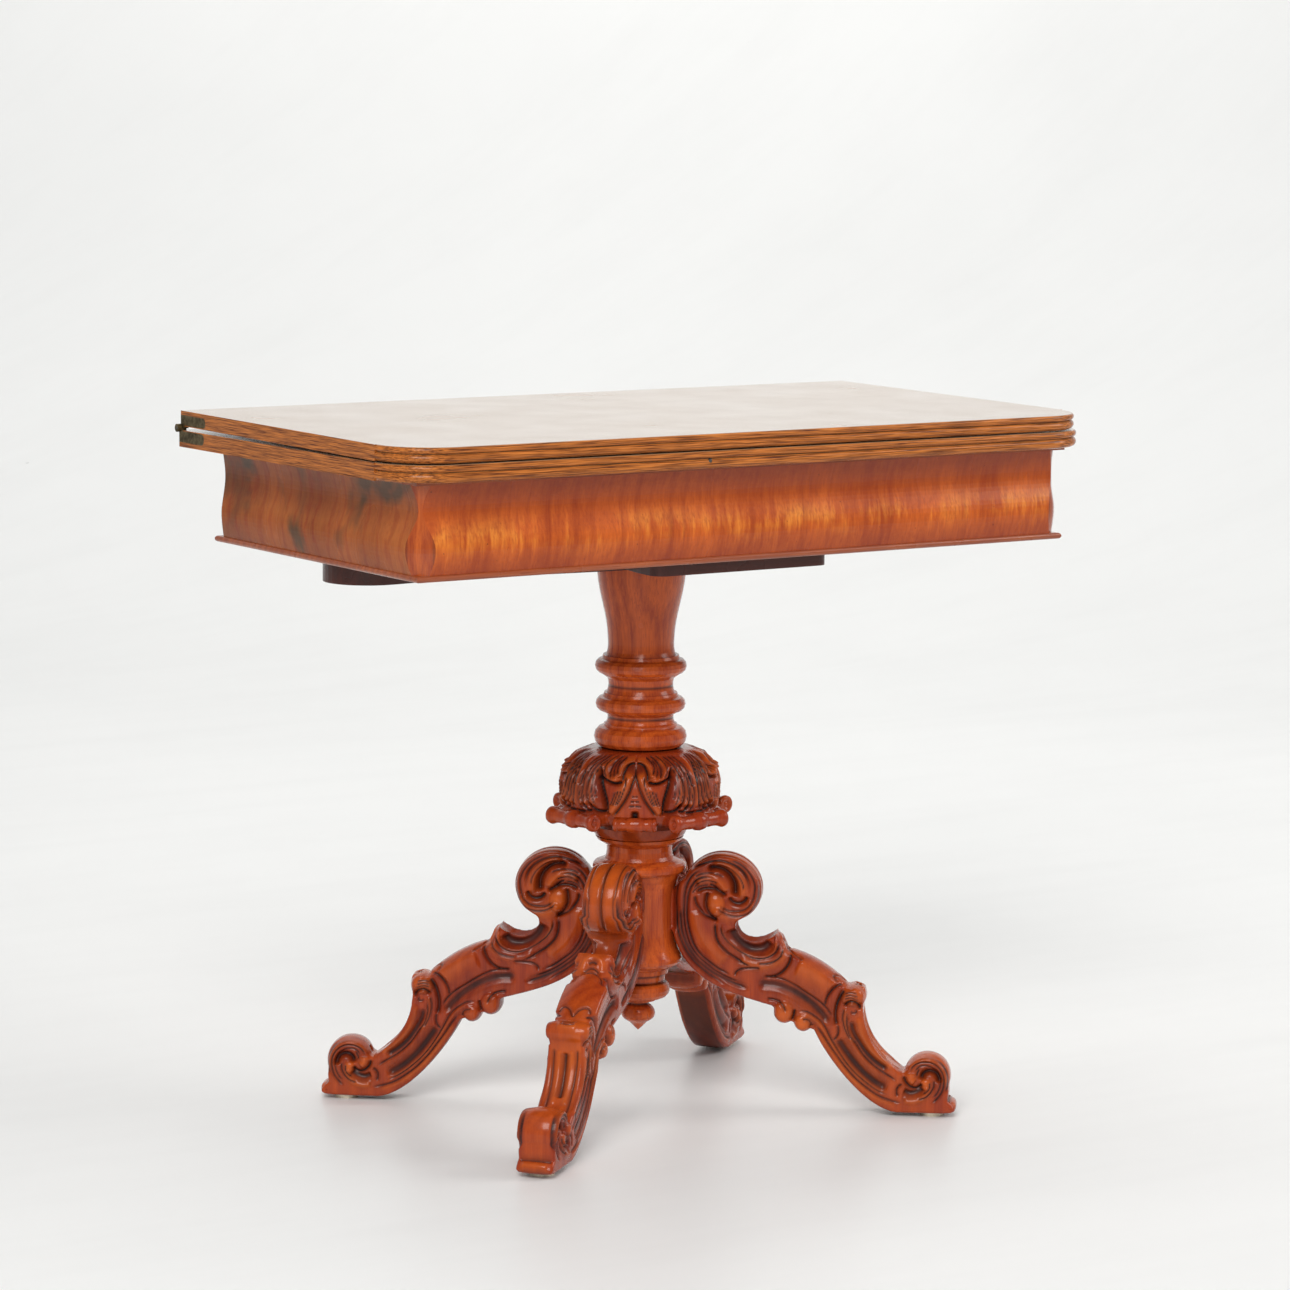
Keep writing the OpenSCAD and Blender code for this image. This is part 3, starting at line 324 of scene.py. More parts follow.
def hollow_levels(nodes):
    """Heights where a turned piece is thinner than it is just above and just below"""
    found = []
    for node in nodes:
        co = get_points(frame["nodes"][node].data)
        levels = np.unique(co[:, 2].round(4))
        far = np.hypot(co[:, 0], co[:, 1])
        width = np.array([far[np.abs(co[:, 2] - v) < 0.0001].max() for v in levels])
        for i in range(1, len(levels) - 1):
            near = np.abs(levels - levels[i]) < HOLLOW_REACH
            above = width[near & (levels > levels[i])].max(initial=width[i + 1])
            below = width[near & (levels < levels[i])].max(initial=width[i - 1])
            lowest = width[i] <= width[i - 1] and width[i] <= width[i + 1]
            if lowest and min(above, below) - width[i] > HOLLOW_DEPTH:
                found.append(float(levels[i]))
    return found


def turned_material():
    """Straight grain up the column, with rings of painted shade in the turned hollows"""
    c = colours()
    s, body, where = new_material("turned_wood")
    grain = wood_grain(s, where, c.turned, c.turned_dark, 0.6, UPRIGHT)
    patch = s.noise(where, 30.0, 3, 0.5)
    height = s.split(where)[2]
    hollow_shade = 0.0
    for level in hollow_levels(("column_shaft", "drop_finial")):
        away = s.math("ABSOLUTE", s.math("SUBTRACT", height, level))
        hollow_shade = s.math("MAXIMUM", hollow_shade, s.span(away, HOLLOW_SHADE_SPREAD, 0.0))
    # patchy painted shade in the turned hollows
    shade_amount = s.math("MULTIPLY", hollow_shade, s.span(patch, 0.2, 0.7, 0.55, 0.95))
    surface(s, body, s.mix(shade_amount, grain["Color"], c.recess),
            s.span(patch, 0.3, 0.7, 0.16, 0.28), 0.2, 0.1, 0.24)
    bump(s, body, grain["Height"], 0.0002, 0.3)


def flame_material(name, along, plain):
    """Curl veneer laid with its grain up the rail, so the ripples stand across it"""
    c = colours()
    s, body, where = new_material(name)
    grain = wood_grain(s, where, c.flame, c.flame_dark, 0.25,
                       UPRIGHT if along == "X" else UPRIGHT_ACROSS)
    flat = s.split(where)
    lean = s.math("MULTIPLY_ADD", flat[2], -0.12, flat["XYZ".index(along)])
    rise = s.math("MULTIPLY", flat[2], 0.16)
    flame_at = s.add("CombineXYZ", {0: lean, 1: rise}).outputs[0]
    ripple = s.noise(flame_at, 105.0, 4, 0.65, 0.3)
    broad = s.noise(flame_at, 13.0, 2, 0.5, 0.3)
    fine = s.noise(s.stretch(where, (420, 420, 60)), 1.0, 2, 0.5)
    stripes = s.math("MULTIPLY_ADD", s.span(ripple, 0.32, 0.68), 0.45,
                     s.math("MULTIPLY_ADD", s.span(broad, 0.3, 0.7), 0.35,
                            s.math("MULTIPLY", fine, 0.35)))
    # painted highlight: a band along the frieze's belly brightens the flame and, where the figure
    # allows, turns it gold
    level = s.math("SUBTRACT", flat[2], FRIEZE_BELLY)
    belly_highlight = s.math("EXPONENT", s.math("MULTIPLY", s.math("MULTIPLY", level, level), -1500.0))
    glow = s.math("MULTIPLY", stripes, s.math("MULTIPLY_ADD", belly_highlight, 0.75, 0.45))
    mixed = s.mix(s.clamp(glow), c.flame_dark, c.flame)
    cloud = s.noise(s.stretch(where, (1, 1, 2.2)), 9.0, 3, 0.55)
    gold_highlight = s.math("MULTIPLY", s.math("POWER", belly_highlight, 3.5),
                  s.span(s.math("MULTIPLY_ADD", cloud, 1.4, ripple), 1.15, 1.5))
    streak = s.noise(s.stretch(flame_at, (75, 24, 1)), 1.0, 3, 0.6)
    dents = s.noise(where, 170.0, 2, 0.5)
    for amount, tone in ((s.clamp(gold_highlight), c.gold_highlight),
                         (s.span(streak, 0.52, 0.7, 0.0, 0.6), c.flame_dark),
                         (s.span(fine, 0.45, 0.7, 0.0, 0.45), c.flame_dark),
                         (s.span(dents, 0.74, 0.78, 0.0, 0.8), c.recess),
                         (0.22, grain["Color"])):
        mixed = s.mix(amount, mixed, tone)
    if plain:
        mixed = plain_veneer(s, where, mixed, s.math("MULTIPLY_ADD", fine, 0.5, broad))
    surface(s, body, mixed, s.span(broad, 0.3, 0.7, 0.2, 0.32),
            0.04 if plain else 0.15, 0.1, 0.16 if plain else 0.25)
    bump(s, body, grain["Height"], 0.00015, 0.25)


def plain_veneer(s, where, mixed, fibre):
    """Hides most of the flame under a calm veneer with dark lines and knots"""
    c = colours()
    lines = s.wave(s.stretch(where, (1, 1, 0.3)), 13.0, 9.0, 4.0, 1.7, 0.65)
    knot = s.noise(s.stretch(where, (1, 1, 0.7)), 13.0, 3, 0.55, 0.6)
    calm = s.mix(s.span(fibre, 0.5, 1.0), c.side_dark, c.side)
    calm = s.mix(s.span(lines, 0.7, 1.0, 0.0, 0.4), calm, c.flame_dark)
    return s.mix(s.span(knot, 0.53, 0.68, 0.0, 0.8), s.mix(0.8, mixed, calm), c.knot)


def corner_material():
    """Red glossy slips, with a dark joint down each side where they meet the rails"""
    c = colours()
    s, body, where = new_material("corner_wood")
    grain = wood_grain(s, where, c.slip, c.flame_dark, 0.4, UPRIGHT)
    flat = s.split(where)
    low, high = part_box("corner_blocks")
    past = [s.math("SUBTRACT", s.math("ABSOLUTE", flat[i]), max(high[i], -low[i]))
            for i in (0, 1)]
    off = s.math("ABSOLUTE", s.math("SUBTRACT", *past))
    joint = s.span(off, JOINT_NEAR, JOINT_FAR, 0.0, 0.4)
    surface(s, body, s.mix(joint, grain["Color"], c.recess), 0.16, 0.35, 0.06, 0.3)
    bump(s, body, grain["Height"], 0.00015, 0.25)


def board_material(name, light, dark, coat, pores):
    """Straight-grained wood along X, with darker patches"""
    s, body, where = new_material(name)
    grain = wood_grain(s, where, light, dark, pores)
    patch = s.noise(where, 18.0, 3, 0.5)
    surface(s, body, s.mix(s.span(patch, 0.35, 0.75, 0.0, 0.35), grain["Color"], dark),
            s.span(patch, 0.3, 0.7, 0.22, 0.4), coat, 0.15, 0.4)
    bump(s, body, grain["Height"], 0.0003, 0.5)


def leaf_material():
    """Veneered face where the surface looks up or down, straight-grained band on the edge"""
    c = colours()
    s, body, where = new_material("leaf_wood")
    grain = wood_grain(s, where, c.top, c.top_dark, 0.3)
    streak = s.noise(s.stretch(where, (26, 420, 1300)), 1.0, 3, 0.6)
    across = s.noise(s.stretch(where, (420, 26, 1300)), 1.0, 3, 0.6)
    normal = s.split(s.add("NewGeometry").outputs["Normal"])
    sideways = s.span(s.math("ABSOLUTE", normal[0]), 0.4, 0.8)
    line = s.math("MULTIPLY_ADD", sideways, s.math("SUBTRACT", across, streak), streak)
    rim = s.mix(s.span(line, 0.36, 0.62), c.edge_dark, c.edge)
    facing = s.span(s.math("ABSOLUTE", normal[2]), 0.85, 0.97)
    patch = s.noise(where, 12.0, 3, 0.5)
    surface(s, body, s.mix(facing, rim, grain["Color"]),
            s.span(patch, 0.3, 0.7, 0.16, 0.28), 0.7, 0.1, 0.2)
    s.feed(body.inputs["Coat Weight"], s.math("MULTIPLY_ADD", facing, 0.7, 0.05))
    bump(s, body, grain["Height"], 0.0002, 0.3)


def metal_material(name, tint, dull):
    s, body, where = new_material(name)
    patch = s.noise(where, 160.0, 4, 0.6)
    scratch = s.noise(s.stretch(where, (900, 60, 900)), 1.0, 2, 0.5)
    dirt = tuple(v * dull for v in tint)
    s.feed(body.inputs["Base Color"], s.mix(s.span(patch, 0.4, 0.65), tint, dirt))
    s.feed(body.inputs["Roughness"], s.span(patch, 0.3, 0.7, 0.35, 0.65))
    s.feed(body.inputs["Metallic"], s.span(patch, 0.5, 0.8, 1.0, 0.75))
    bump(s, body, scratch, 0.0001, 0.3)


def baize_material():
    c = colours()
    s, body, where = new_material("baize")
    nap = s.noise(where, 900.0, 3, 0.7)
    patch = s.noise(where, 9.0, 3, 0.5)
    s.feed(body.inputs["Base Color"], s.mix(s.math("MULTIPLY", s.math("ADD", nap, patch), 0.5),
                                            c.baize, tuple(v * 1.9 for v in c.baize)))
    body.inputs["Roughness"].default_value = 0.95
    body.inputs["Sheen Weight"].default_value = 0.4
    bump(s, body, nap, 0.0004, 0.7)


def need(name):
    if name not in FINISHES:
        raise RuntimeError("mix the finishes first: " + name)
    return FINISHES[name]


# Mesh helpers

def mesh_of(bm, name):
    """The finished mesh, with its faces turned outwards"""
    bmesh.ops.recalc_face_normals(bm, faces=bm.faces)
    mesh = bpy.data.meshes.new(name)
    bm.to_mesh(mesh)
    bm.free()
    return mesh


def linked(name, mesh):
    thing = bpy.data.objects.new(name, mesh)
    bpy.context.scene.collection.objects.link(thing)
    return thing


def smooth_object(name, mesh, material):
    mesh.materials.clear()
    mesh.materials.append(material)
    mesh.polygons.foreach_set("use_smooth", [True] * len(mesh.polygons))
    return linked(name, mesh)


def carved_piece(name, mesh):
    """A carved piece of the stand, which doesn't move"""
    piece = smooth_object(name, mesh, need("carved_wood"))
    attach(piece, "base")
    return piece


def spin_round(bm, line, steps):
    """Turns a line of points once round Z"""
    edges = [bm.edges.new(pair) for pair in zip(line, line[1:])]
    bmesh.ops.spin(bm, geom=line + edges, axis=(0, 0, 1), cent=(0, 0, 0), steps=steps,
                   angle=2 * math.pi, use_merge=True)


def get_points(mesh):
    co = np.zeros(len(mesh.vertices) * 3)
    mesh.vertices.foreach_get("co", co)
    return co.reshape(-1, 3)


def set_points(mesh, co):
    mesh.vertices.foreach_set("co", np.ascontiguousarray(co).ravel())
    mesh.update()


def set_mask(mesh, name, values):
    layer = mesh.attributes.new(name, "FLOAT", "POINT")
    layer.data.foreach_set("value", np.clip(values, 0, 1).astype(np.float32))


def curve_through(points):
    """A smooth line through the points, with one point about every 1.5 mm"""
    p = np.array(points, float)
    ends = np.vstack([2 * p[0] - p[1], p, 2 * p[-1] - p[-2]])
    parts = []
    for i in range(1, len(ends) - 2):
        a, b, c, d = ends[i - 1:i + 3]
        n = max(2, int(np.linalg.norm(c - b) / 1.5))
        t = np.linspace(0, 1, n, endpoint=False)[:, None]
        parts.append(0.5 * (2 * b + (c - a) * t + (2 * a - 5 * b + 4 * c - d) * t ** 2
                            + (3 * b - a - 3 * c + d) * t ** 3))
    parts.append(p[-1:])
    return np.vstack(parts)


def nearest(points, line):
    """Distance of every point to a line, and its place along it from 0 to 1"""
    batch = 8000
    a = line[:-1]
    d = line[1:] - a
    squares = np.maximum((d * d).sum(1), 1e-9)
    far = np.empty(len(points))
    along = np.empty(len(points))
    for start in range(0, len(points), batch):
        q = points[start:start + batch]
        rel = q[:, None, :] - a[None]
        t = np.clip((rel * d[None]).sum(2) / squares, 0, 1)
        gap = rel - t[:, :, None] * d[None]
        dist = (gap * gap).sum(2)
        best = dist.argmin(1)
        rows = np.arange(len(q))
        far[start:start + batch] = np.sqrt(dist[rows, best])
        along[start:start + batch] = (best + t[rows, best]) / len(a)
    return far, along


def smooth_step(x, low, high):
    t = np.clip((x - low) / (high - low), 0, 1)
    return t * t * (3 - 2 * t)


class Relief:
    """Heights over a flat or unrolled face, cut and raised along drawn lines"""

    def __init__(self, points):
        self.points = points
        self.height = np.zeros(len(points))
        self.dark = np.zeros(len(points))
        self.ridge = np.zeros(len(points))

    def stroke(self, line, width, end):
        """Distance to the line, and a rounded profile that fades out at both ends"""
        far, along = nearest(self.points, curve_through(line))
        taper = smooth_step(along, 0, end) * smooth_step(1 - along, 0, end)
        return far, np.exp(-(far / width) ** 2) * taper, taper

    def cut(self, line, width, depth, end=0.1, dark=1.0):
        """A groove, with painted shade along its bottom and a fainter painted shade on both sides of
        it
        """
        far, shape, taper = self.stroke(line, width, end)
        self.height -= depth * shape
        painted_shade = np.maximum(np.clip(1.15 * np.exp(-(far / (0.8 * width)) ** 2), 0, 1),
                           0.42 * np.exp(-(far / (2.6 * width)) ** 2))
        self.dark = np.maximum(self.dark, dark * painted_shade * taper)

    def rise(self, line, width, height, end=0.1, ridge=0.6):
        _, shape, _ = self.stroke(line, width, end)
        self.height += height * shape
        self.ridge = np.maximum(self.ridge, ridge * shape)

    def ball(self, centre, size, height, ridge=0.5):
        """Half of an egg shape, size being its half lengths along both axes"""
        rel = (self.points - np.array(centre)) / np.array(size)
        dome = np.sqrt(np.clip(1 - (rel * rel).sum(1), 0, 1))
        self.height += height * dome
        self.ridge = np.maximum(self.ridge, ridge * dome)


# Carved legs: points are [distance from the column's axis, height above the foot]

def bezier(a, b, c, d, n):
    t = (np.arange(n) / n)[:, None]
    a, b, c, d = (np.array(v, float) for v in (a, b, c, d))
    return a * (1 - t) ** 3 + 3 * b * (1 - t) ** 2 * t + 3 * c * (1 - t) * t ** 2 + d * t ** 3


def arc(centre, radius, start, end, n):
    t = np.radians(np.linspace(start, end, n, endpoint=False))
    return np.array(centre) + radius * np.stack([np.cos(t), np.sin(t)], 1)


VOLUTE = (92, 236)
CURL = (100.2, 240.75)
KNEE = (237, 126.5)
FOOT = (317, 39.5)
LEG_EDGE = {
    "root": lambda: np.array([(30, 200), (30, 238), (40, 240)], float),
    "neck": lambda: bezier((40, 240), (43, 246), (46, 250), (51, 253.4), 6),
    "volute": lambda: arc(VOLUTE, 44.5, 157, 30, 60),
    "curl": lambda: arc(CURL, 35, 30, -76, 40),
    "hollow": lambda: bezier((108.5, 203), (107.5, 183), (134.5, 178), (150.5, 196), 30),
    "leaf": lambda: bezier((150.5, 196), (157.5, 193), (159.5, 182), (164.5, 176), 12),
    "panel": lambda: bezier((164.5, 176), (188, 171), (211, 157), (230, 138.5), 30),
    "knee": lambda: arc(KNEE, 13, 122, -40, 22),
    "shin": lambda: bezier((247.5, 116), (246, 94), (258, 64), (292, 44.8), 40),
    "foot": lambda: arc(FOOT, 25.5, 168, -22, 40),
    "notch": lambda: bezier((341.2, 26.5), (341.8, 23), (341.2, 19), (340, 16), 6),
    "toe": lambda: bezier((340, 16), (346, 13), (353, 6), (346, 1.2), 10),
    "sole": lambda: np.array([(344, 0.8), (335, 0), (316, 0), (300, 0), (288, 0)], float),
    "calf": lambda: bezier((285, 0), (254, 1), (212, 50), (191.5, 91), 48),
    "small_ball": lambda: arc((181.5, 96), 10.5, 0, -165, 16),
    "big_ball": lambda: arc((161, 106), 12, -45, -188, 18),
    "back": lambda: bezier((149, 113), (120, 124), (50, 130), (38, 196), 50),
}
# Lines cut, hollowed and raised on a leg's side: name, width, depth or height, points
CUTS = [
    ("rim groove", 1.7, 3, [(103, 133.5), (89.5, 141.5), (77.5, 149), (66.5, 158), (57.5, 168),
        (49.5, 181.5), (44.5, 197), (43.5, 215.5), (43, 234), (45.5, 250.5), (50.5, 258),
        (57.5, 263.5), (66.5, 268), (77.5, 272), (89.5, 274), (100.5, 271.5), (108.5, 267.5),
        (115, 262), (119.5, 255), (121.5, 248), (121.5, 241), (119.5, 234.5)]),
    ("rim groove end", 2.2, 4.5, [(120, 236), (117.5, 230.5), (112, 227.5), (106.5, 228),
        (102.5, 230.5), (100.5, 235)]),
    ("second groove", 1.3, 2.4, [(119.5, 139), (103, 143.5), (89.5, 150), (76.5, 159),
        (66.5, 168), (58.5, 179), (53.5, 193), (51, 210), (51, 226), (52.5, 241), (56.5, 252),
        (61.5, 258.5), (67.5, 262.5), (75.5, 264)]),
    ("panel border", 1.4, 2.6, [(106.5, 146.5), (92, 153), (79.5, 161.5), (70.5, 169),
        (62, 181), (57, 196), (54.5, 211), (54.5, 226), (56.5, 239), (60.5, 247), (66, 253.5),
        (74.5, 256), (81.5, 255.5), (88, 254.5)]),
    ("tongue a", 0.9, 1.5, [(61.5, 242), (64.5, 247), (69, 250.5), (74.5, 252), (81.5, 251.5),
        (88.5, 249)]),
    ("tongue b", 0.9, 1.4, [(59.5, 237), (64.5, 243), (70.5, 246), (78.5, 247.5)]),
    ("tongue notch", 1.4, 2.8, [(79, 248), (84, 246), (88, 242)]),
    ("tongue c", 0.9, 1.3, [(61.5, 254.5), (67.5, 258.5), (74.5, 260), (83, 260), (89.5, 258.5),
        (95, 255.5)]),
    ("band line", 0.9, 1.4, [(83.5, 269.5), (91.5, 269), (99.5, 266.5), (107, 261),
        (112.5, 254.5), (115.5, 247.5), (116, 241)]),
    ("band groove", 1.1, 2, [(97.5, 275), (106.5, 273), (114.5, 268.5), (121, 262),
        (125.5, 255), (128, 247), (127.5, 239), (126, 232), (122.5, 226), (117.5, 221.5),
        (111.5, 219.5), (104.5, 219), (98, 220), (92.5, 224), (89.5, 229)]),
    ("band groove low", 1.1, 1.9, [(130.5, 255), (132.5, 247), (132.5, 240), (131, 232),
        (127.5, 224.5), (122.5, 218.5), (116.5, 215.5), (109.5, 214), (102.5, 214.5),
        (96.5, 216.5), (91, 220.5), (88, 226)]),
    ("panel crescent", 1.5, 3, [(63, 236), (63.5, 229.5), (65.5, 224.5), (69.5, 219),
        (74.5, 214), (81.5, 210.5), (89.5, 207.5)]),
    ("leaf rim", 1.6, 3, [(85.5, 207), (85.5, 196), (88.5, 184.5), (96.5, 175), (107.5, 167),
        (118.5, 160.5), (125.5, 158.5)]),
    ("leaf inner", 1.2, 2.4, [(91.5, 206), (92.5, 195.5), (98, 186), (107.5, 177.5),
        (118.5, 171), (129.5, 167), (140.5, 168), (150, 173), (154.5, 181), (154, 188)]),
    ("leaf turn", 1.2, 2.4, [(106.5, 146.5), (109, 152), (115.5, 155.5), (125, 156.5),
        (135.5, 156.5)]),
    ("leaf edge", 1.7, 3.8, [(137.5, 147.5), (145.5, 147), (153, 149), (160.5, 154.5),
        (166, 163), (167.5, 171), (165, 178)]),
    ("leaf under", 1.2, 2, [(131.5, 161.5), (141.5, 162), (150.5, 165), (157, 171), (159.5, 179)]),
    ("long line", 1.2, 2.4, [(142, 148), (152, 146.5), (161.5, 144), (174, 137.5), (185, 130.5),
        (196, 123.5), (204.5, 117), (210.5, 109.5), (214, 102.5)]),
    ("knee line", 1.3, 2.8, [(205.5, 116), (206.5, 123.5), (210, 130.5), (215.5, 137),
        (221.5, 140.5), (227, 139.5)]),
    ("knee band", 2.2, 4.2, [(219, 94.5), (217, 103.5), (217.5, 114), (220, 123), (224, 131),
        (227.5, 136)]),
    ("knee band end", 1.2, 2.4, [(219.5, 96), (220.5, 89.5), (219, 83.5), (215, 79)]),
    ("knee a", 0.8, 1.2, [(227, 131.5), (233.5, 133), (240.5, 131.5)]),
    ("knee b", 0.8, 1.2, [(226.5, 128.5), (233.5, 130), (241.5, 128)]),
    ("knee c", 0.8, 1.2, [(226.5, 125.5), (233.5, 127), (242, 124.5)]),
    ("knee eye", 1.9, 4.6, [(227, 116.5), (229.5, 121), (233.5, 123), (238.5, 122),
        (242.5, 118), (243.5, 113.5)]),
    ("knee reed", 1.1, 2.2, [(226.5, 115.5), (225, 104.5), (226.5, 95.5), (229.5, 87.5),
        (234, 79.5)]),
    ("knee reed b", 1.1, 2.2, [(230.5, 112), (229.5, 103.5), (230, 95), (233, 85), (240, 75),
        (247, 64.5), (255, 56), (265, 48), (278, 40), (286, 34.5)]),
    ("knee hook", 0.8, 1.4, [(233, 111), (236.5, 109.5), (239.5, 110.5), (238.5, 114)]),
    ("big hook", 1.3, 2.6, [(142, 123), (151, 122), (157.5, 119), (161.5, 114), (163, 109)]),
    ("small hook", 1.1, 2.2, [(181, 101.5), (186.5, 101.5), (190, 98.5), (190.5, 93.5)]),
    ("ball gap", 1.6, 3.4, [(172.5, 112.5), (171.5, 105.5), (170, 100)]),
    ("calf start", 1.1, 2, [(172, 110), (179, 110.5), (186.5, 109.5), (193, 106), (201, 100),
        (206.5, 92.5), (211, 83.5), (215, 76.5), (222, 65), (231, 52.5), (242, 41), (254, 31),
        (266, 23.5), (278, 19)]),
    ("calf border", 1.1, 1.9, [(191, 98), (197.5, 93), (204.5, 83.5), (211, 73.5), (220, 61),
        (230, 48), (242, 35.5), (254, 26), (266, 18.5), (280, 13.5), (294, 11)]),
    ("foot pad", 1.3, 2.6, [(285.5, 18.5), (284.5, 24.5), (286, 29.5), (290.5, 33)]),
    ("foot reed", 1.2, 2.2, [(293, 45), (296.5, 53.5), (303, 60.5), (311, 63.5), (319, 64),
        (327, 61), (333.5, 55.5), (338, 48), (340, 39.5), (339, 30), (335.5, 22.5)]),
    ("foot reed b", 1.1, 2, [(298, 44), (301.5, 52), (308, 56.5), (316, 58), (324.5, 56),
        (331, 50.5), (335, 42.5), (335.5, 33), (333, 24), (327, 16), (321, 11)]),
    ("foot reed c", 0.9, 1.6, [(303, 45), (307.5, 51.5), (314, 54), (321, 52.5), (327.5, 48),
        (331.5, 40.5), (331.5, 31.5), (328, 23), (322, 17)]),
    ("foot curl", 1.8, 3.8, [(292, 42.5), (294, 35.5), (299, 30.5), (305, 28.5), (310, 31),
        (311.5, 35.5)]),
    ("foot notch", 1.1, 2.4, [(306.5, 42), (307, 46), (309, 50)]),
    ("foot tongue", 1.1, 2, [(324.5, 38.5), (325, 32), (322, 25), (316, 19), (307.5, 16)]),
    ("foot tongue b", 0.9, 1.6, [(320, 36), (320.5, 31), (317.5, 25.5), (312.5, 22)]),
]
HOLLOWS = [
    ("recess", 3.3, 9.5, [(75.5, 263.5), (82.5, 266), (89.5, 265.5), (96, 262.5),
        (101.5, 257.5), (105, 251.5), (106.5, 245), (106.5, 239), (105, 234.5)]),
    ("under tongue", 2.1, 5, [(64, 238), (69.5, 241.5), (76.5, 243), (84, 242.5), (91, 239.5),
        (97.5, 235)]),
    ("ball side", 2.3, 4.5, [(77, 240), (75.5, 232), (75.5, 224), (78, 217.5), (82.5, 212),
        (88.5, 208.5)]),
    ("leaf scoop", 7, 8.5, [(103.5, 201), (107.5, 190), (115.5, 182), (126.5, 177.5),
        (138.5, 179), (146.5, 187)]),
    ("rim hollow", 2.6, 2.6, [(47, 226), (47.5, 210), (49, 195), (54.5, 180), (63.5, 166),
        (76.5, 154.5), (91.5, 145.5), (107.5, 138.5), (125.5, 132.5)]),
    ("lower cove", 5.5, 4, [(130, 139.5), (150, 139), (168, 133.5), (182, 126), (194, 116.5),
        (204, 106), (211, 95.5)]),
    ("shin cove", 5.5, 4.6, [(219, 82.5), (227, 69.5), (238, 55), (251, 41.5), (264, 32),
        (276, 26)]),
    ("front cove", 3.6, 3.6, [(234, 102.5), (236, 90.5), (243, 77.5), (252, 65), (263, 55),
        (276, 47)]),
    ("foot recess", 3, 7.5, [(311.5, 37.5), (312.5, 43.5), (317, 47), (322, 47.5), (327, 45),
        (330, 39.5), (330.5, 34)]),
    ("foot cup", 4, 4.5, [(291.5, 25.5), (299, 23), (307, 25), (313.5, 29)]),
]
RIDGES = [
    ("panel", 9, 3, [(65.5, 220), (65.5, 203), (72.5, 188), (84.5, 175), (99.5, 163)]),
    ("tongue", 4.6, 3.2, [(63.5, 249), (71.5, 254), (81.5, 255), (89.5, 251), (94.5, 245),
        (97, 239)]),
    ("hook band", 4.6, 2.6, [(81.5, 270), (93.5, 270), (103.5, 265), (110.5, 257), (114, 248),
        (114, 239), (111.5, 233)]),
    ("lower band", 7.5, 4.5, [(84.5, 224), (88.5, 218), (96.5, 213.5), (106.5, 212),
        (116.5, 214.5), (124.5, 221), (129.5, 231)]),
    ("leaf lip", 1.9, 2.6, [(92.5, 204), (94, 193.5), (100.5, 183.5), (110.5, 175.5),
        (122, 170), (133, 168), (143, 170), (150, 176.5), (152, 186), (151.5, 192)]),
    ("leaf back", 5, 3, [(111.5, 166), (123.5, 161.5), (137.5, 159.5), (150.5, 163),
        (158.5, 171), (159.5, 180)]),
    ("calf edge", 2.5, 1.2, [(198, 89.5), (212, 68.5), (228, 46), (246, 28.5), (264, 16),
        (286, 8)]),
    ("shin edge", 2.6, 1.6, [(242, 106.5), (245, 89.5), (254, 72.5), (267, 59.5), (282, 49.5)]),
    ("cap panel", 11, 3, [(174, 161.5), (190, 154), (204, 145), (214, 136)]),
    ("knee inner", 2.4, 2, [(228, 115.5), (227, 105.5), (228, 95.5), (232, 85.5), (238, 76.5)]),
    ("calf ridge", 2, 1.4, [(174, 107.5), (186, 106.5), (196, 101), (204, 91.5), (212, 78.5),
        (222, 63.5), (234, 49), (248, 36), (262, 26.5), (276, 20.5)]),
    ("foot band", 3.2, 2.2, [(294.5, 49), (301.5, 56.5), (312.5, 60.5), (323.5, 59), (332, 52),
        (336.5, 41.5), (336.5, 31)]),
    ("foot tail", 3.4, 2.6, [(291.5, 14.5), (302, 13.5), (311.5, 17), (318, 24.5), (318.5, 32)]),
    ("foot end", 4.6, 4, [(299, 45), (300, 38.5), (304, 35)]),
]


# Balls on a leg's side: centre, size, height and how much worn polish and painted highlight they get
BALLS = [
    ((85.5, 226), (10.5, 13), 6.0, 0.7),
    ((160.5, 109), (11, 11.5), 5.0, 0.6),
    ((181.5, 97.5), (9.5, 8.5), 4.0, 0.6),
    ((235, 128), (13, 11), 4.5, 0.5),
    ((316, 33), (6, 6.5), 3.0, 0.6),
]


def leg_relief(points):
    face = Relief(points)
    strength = bpy.context.scene.carving_sizes.cut
    for _, width, height, line in RIDGES:
        face.rise(line, width, height * strength, ridge=0.45)
    for ball in BALLS:
        face.ball(*ball)
    # cuts and hollows are sunk and filled with painted shade
    for table, dark in ((HOLLOWS, 0.85), (CUTS, 0.95)):
        for _, width, depth, line in table:
            face.cut(line, width, depth * strength, dark=dark)
    volute = np.linalg.norm(points - np.array(VOLUTE), axis=1)
    face.height += 2.5 * (1 - smooth_step(volute, 34, 60))
    return face


# How far the sides of a narrow face fall back, and how far its middle is hollowed
RIM_CROWN = {"volute": 3.0, "curl": 3.0, "leaf": 4.0, "panel": 5.0, "knee": 2.5,
             "foot": 3.0, "toe": 2.0, "calf": 1.0, "back": 1.0, "small_ball": 2.5,
             "big_ball": 2.5}
RIM_HOLLOW = {"hollow": 5.0, "shin": 0.8}
# Painted shade on the narrow faces, in the hollows and on the undersides
RIM_PAINTED_SHADE = {"hollow": 0.25, "sole": 0.9, "calf": 0.72, "back": 0.72}
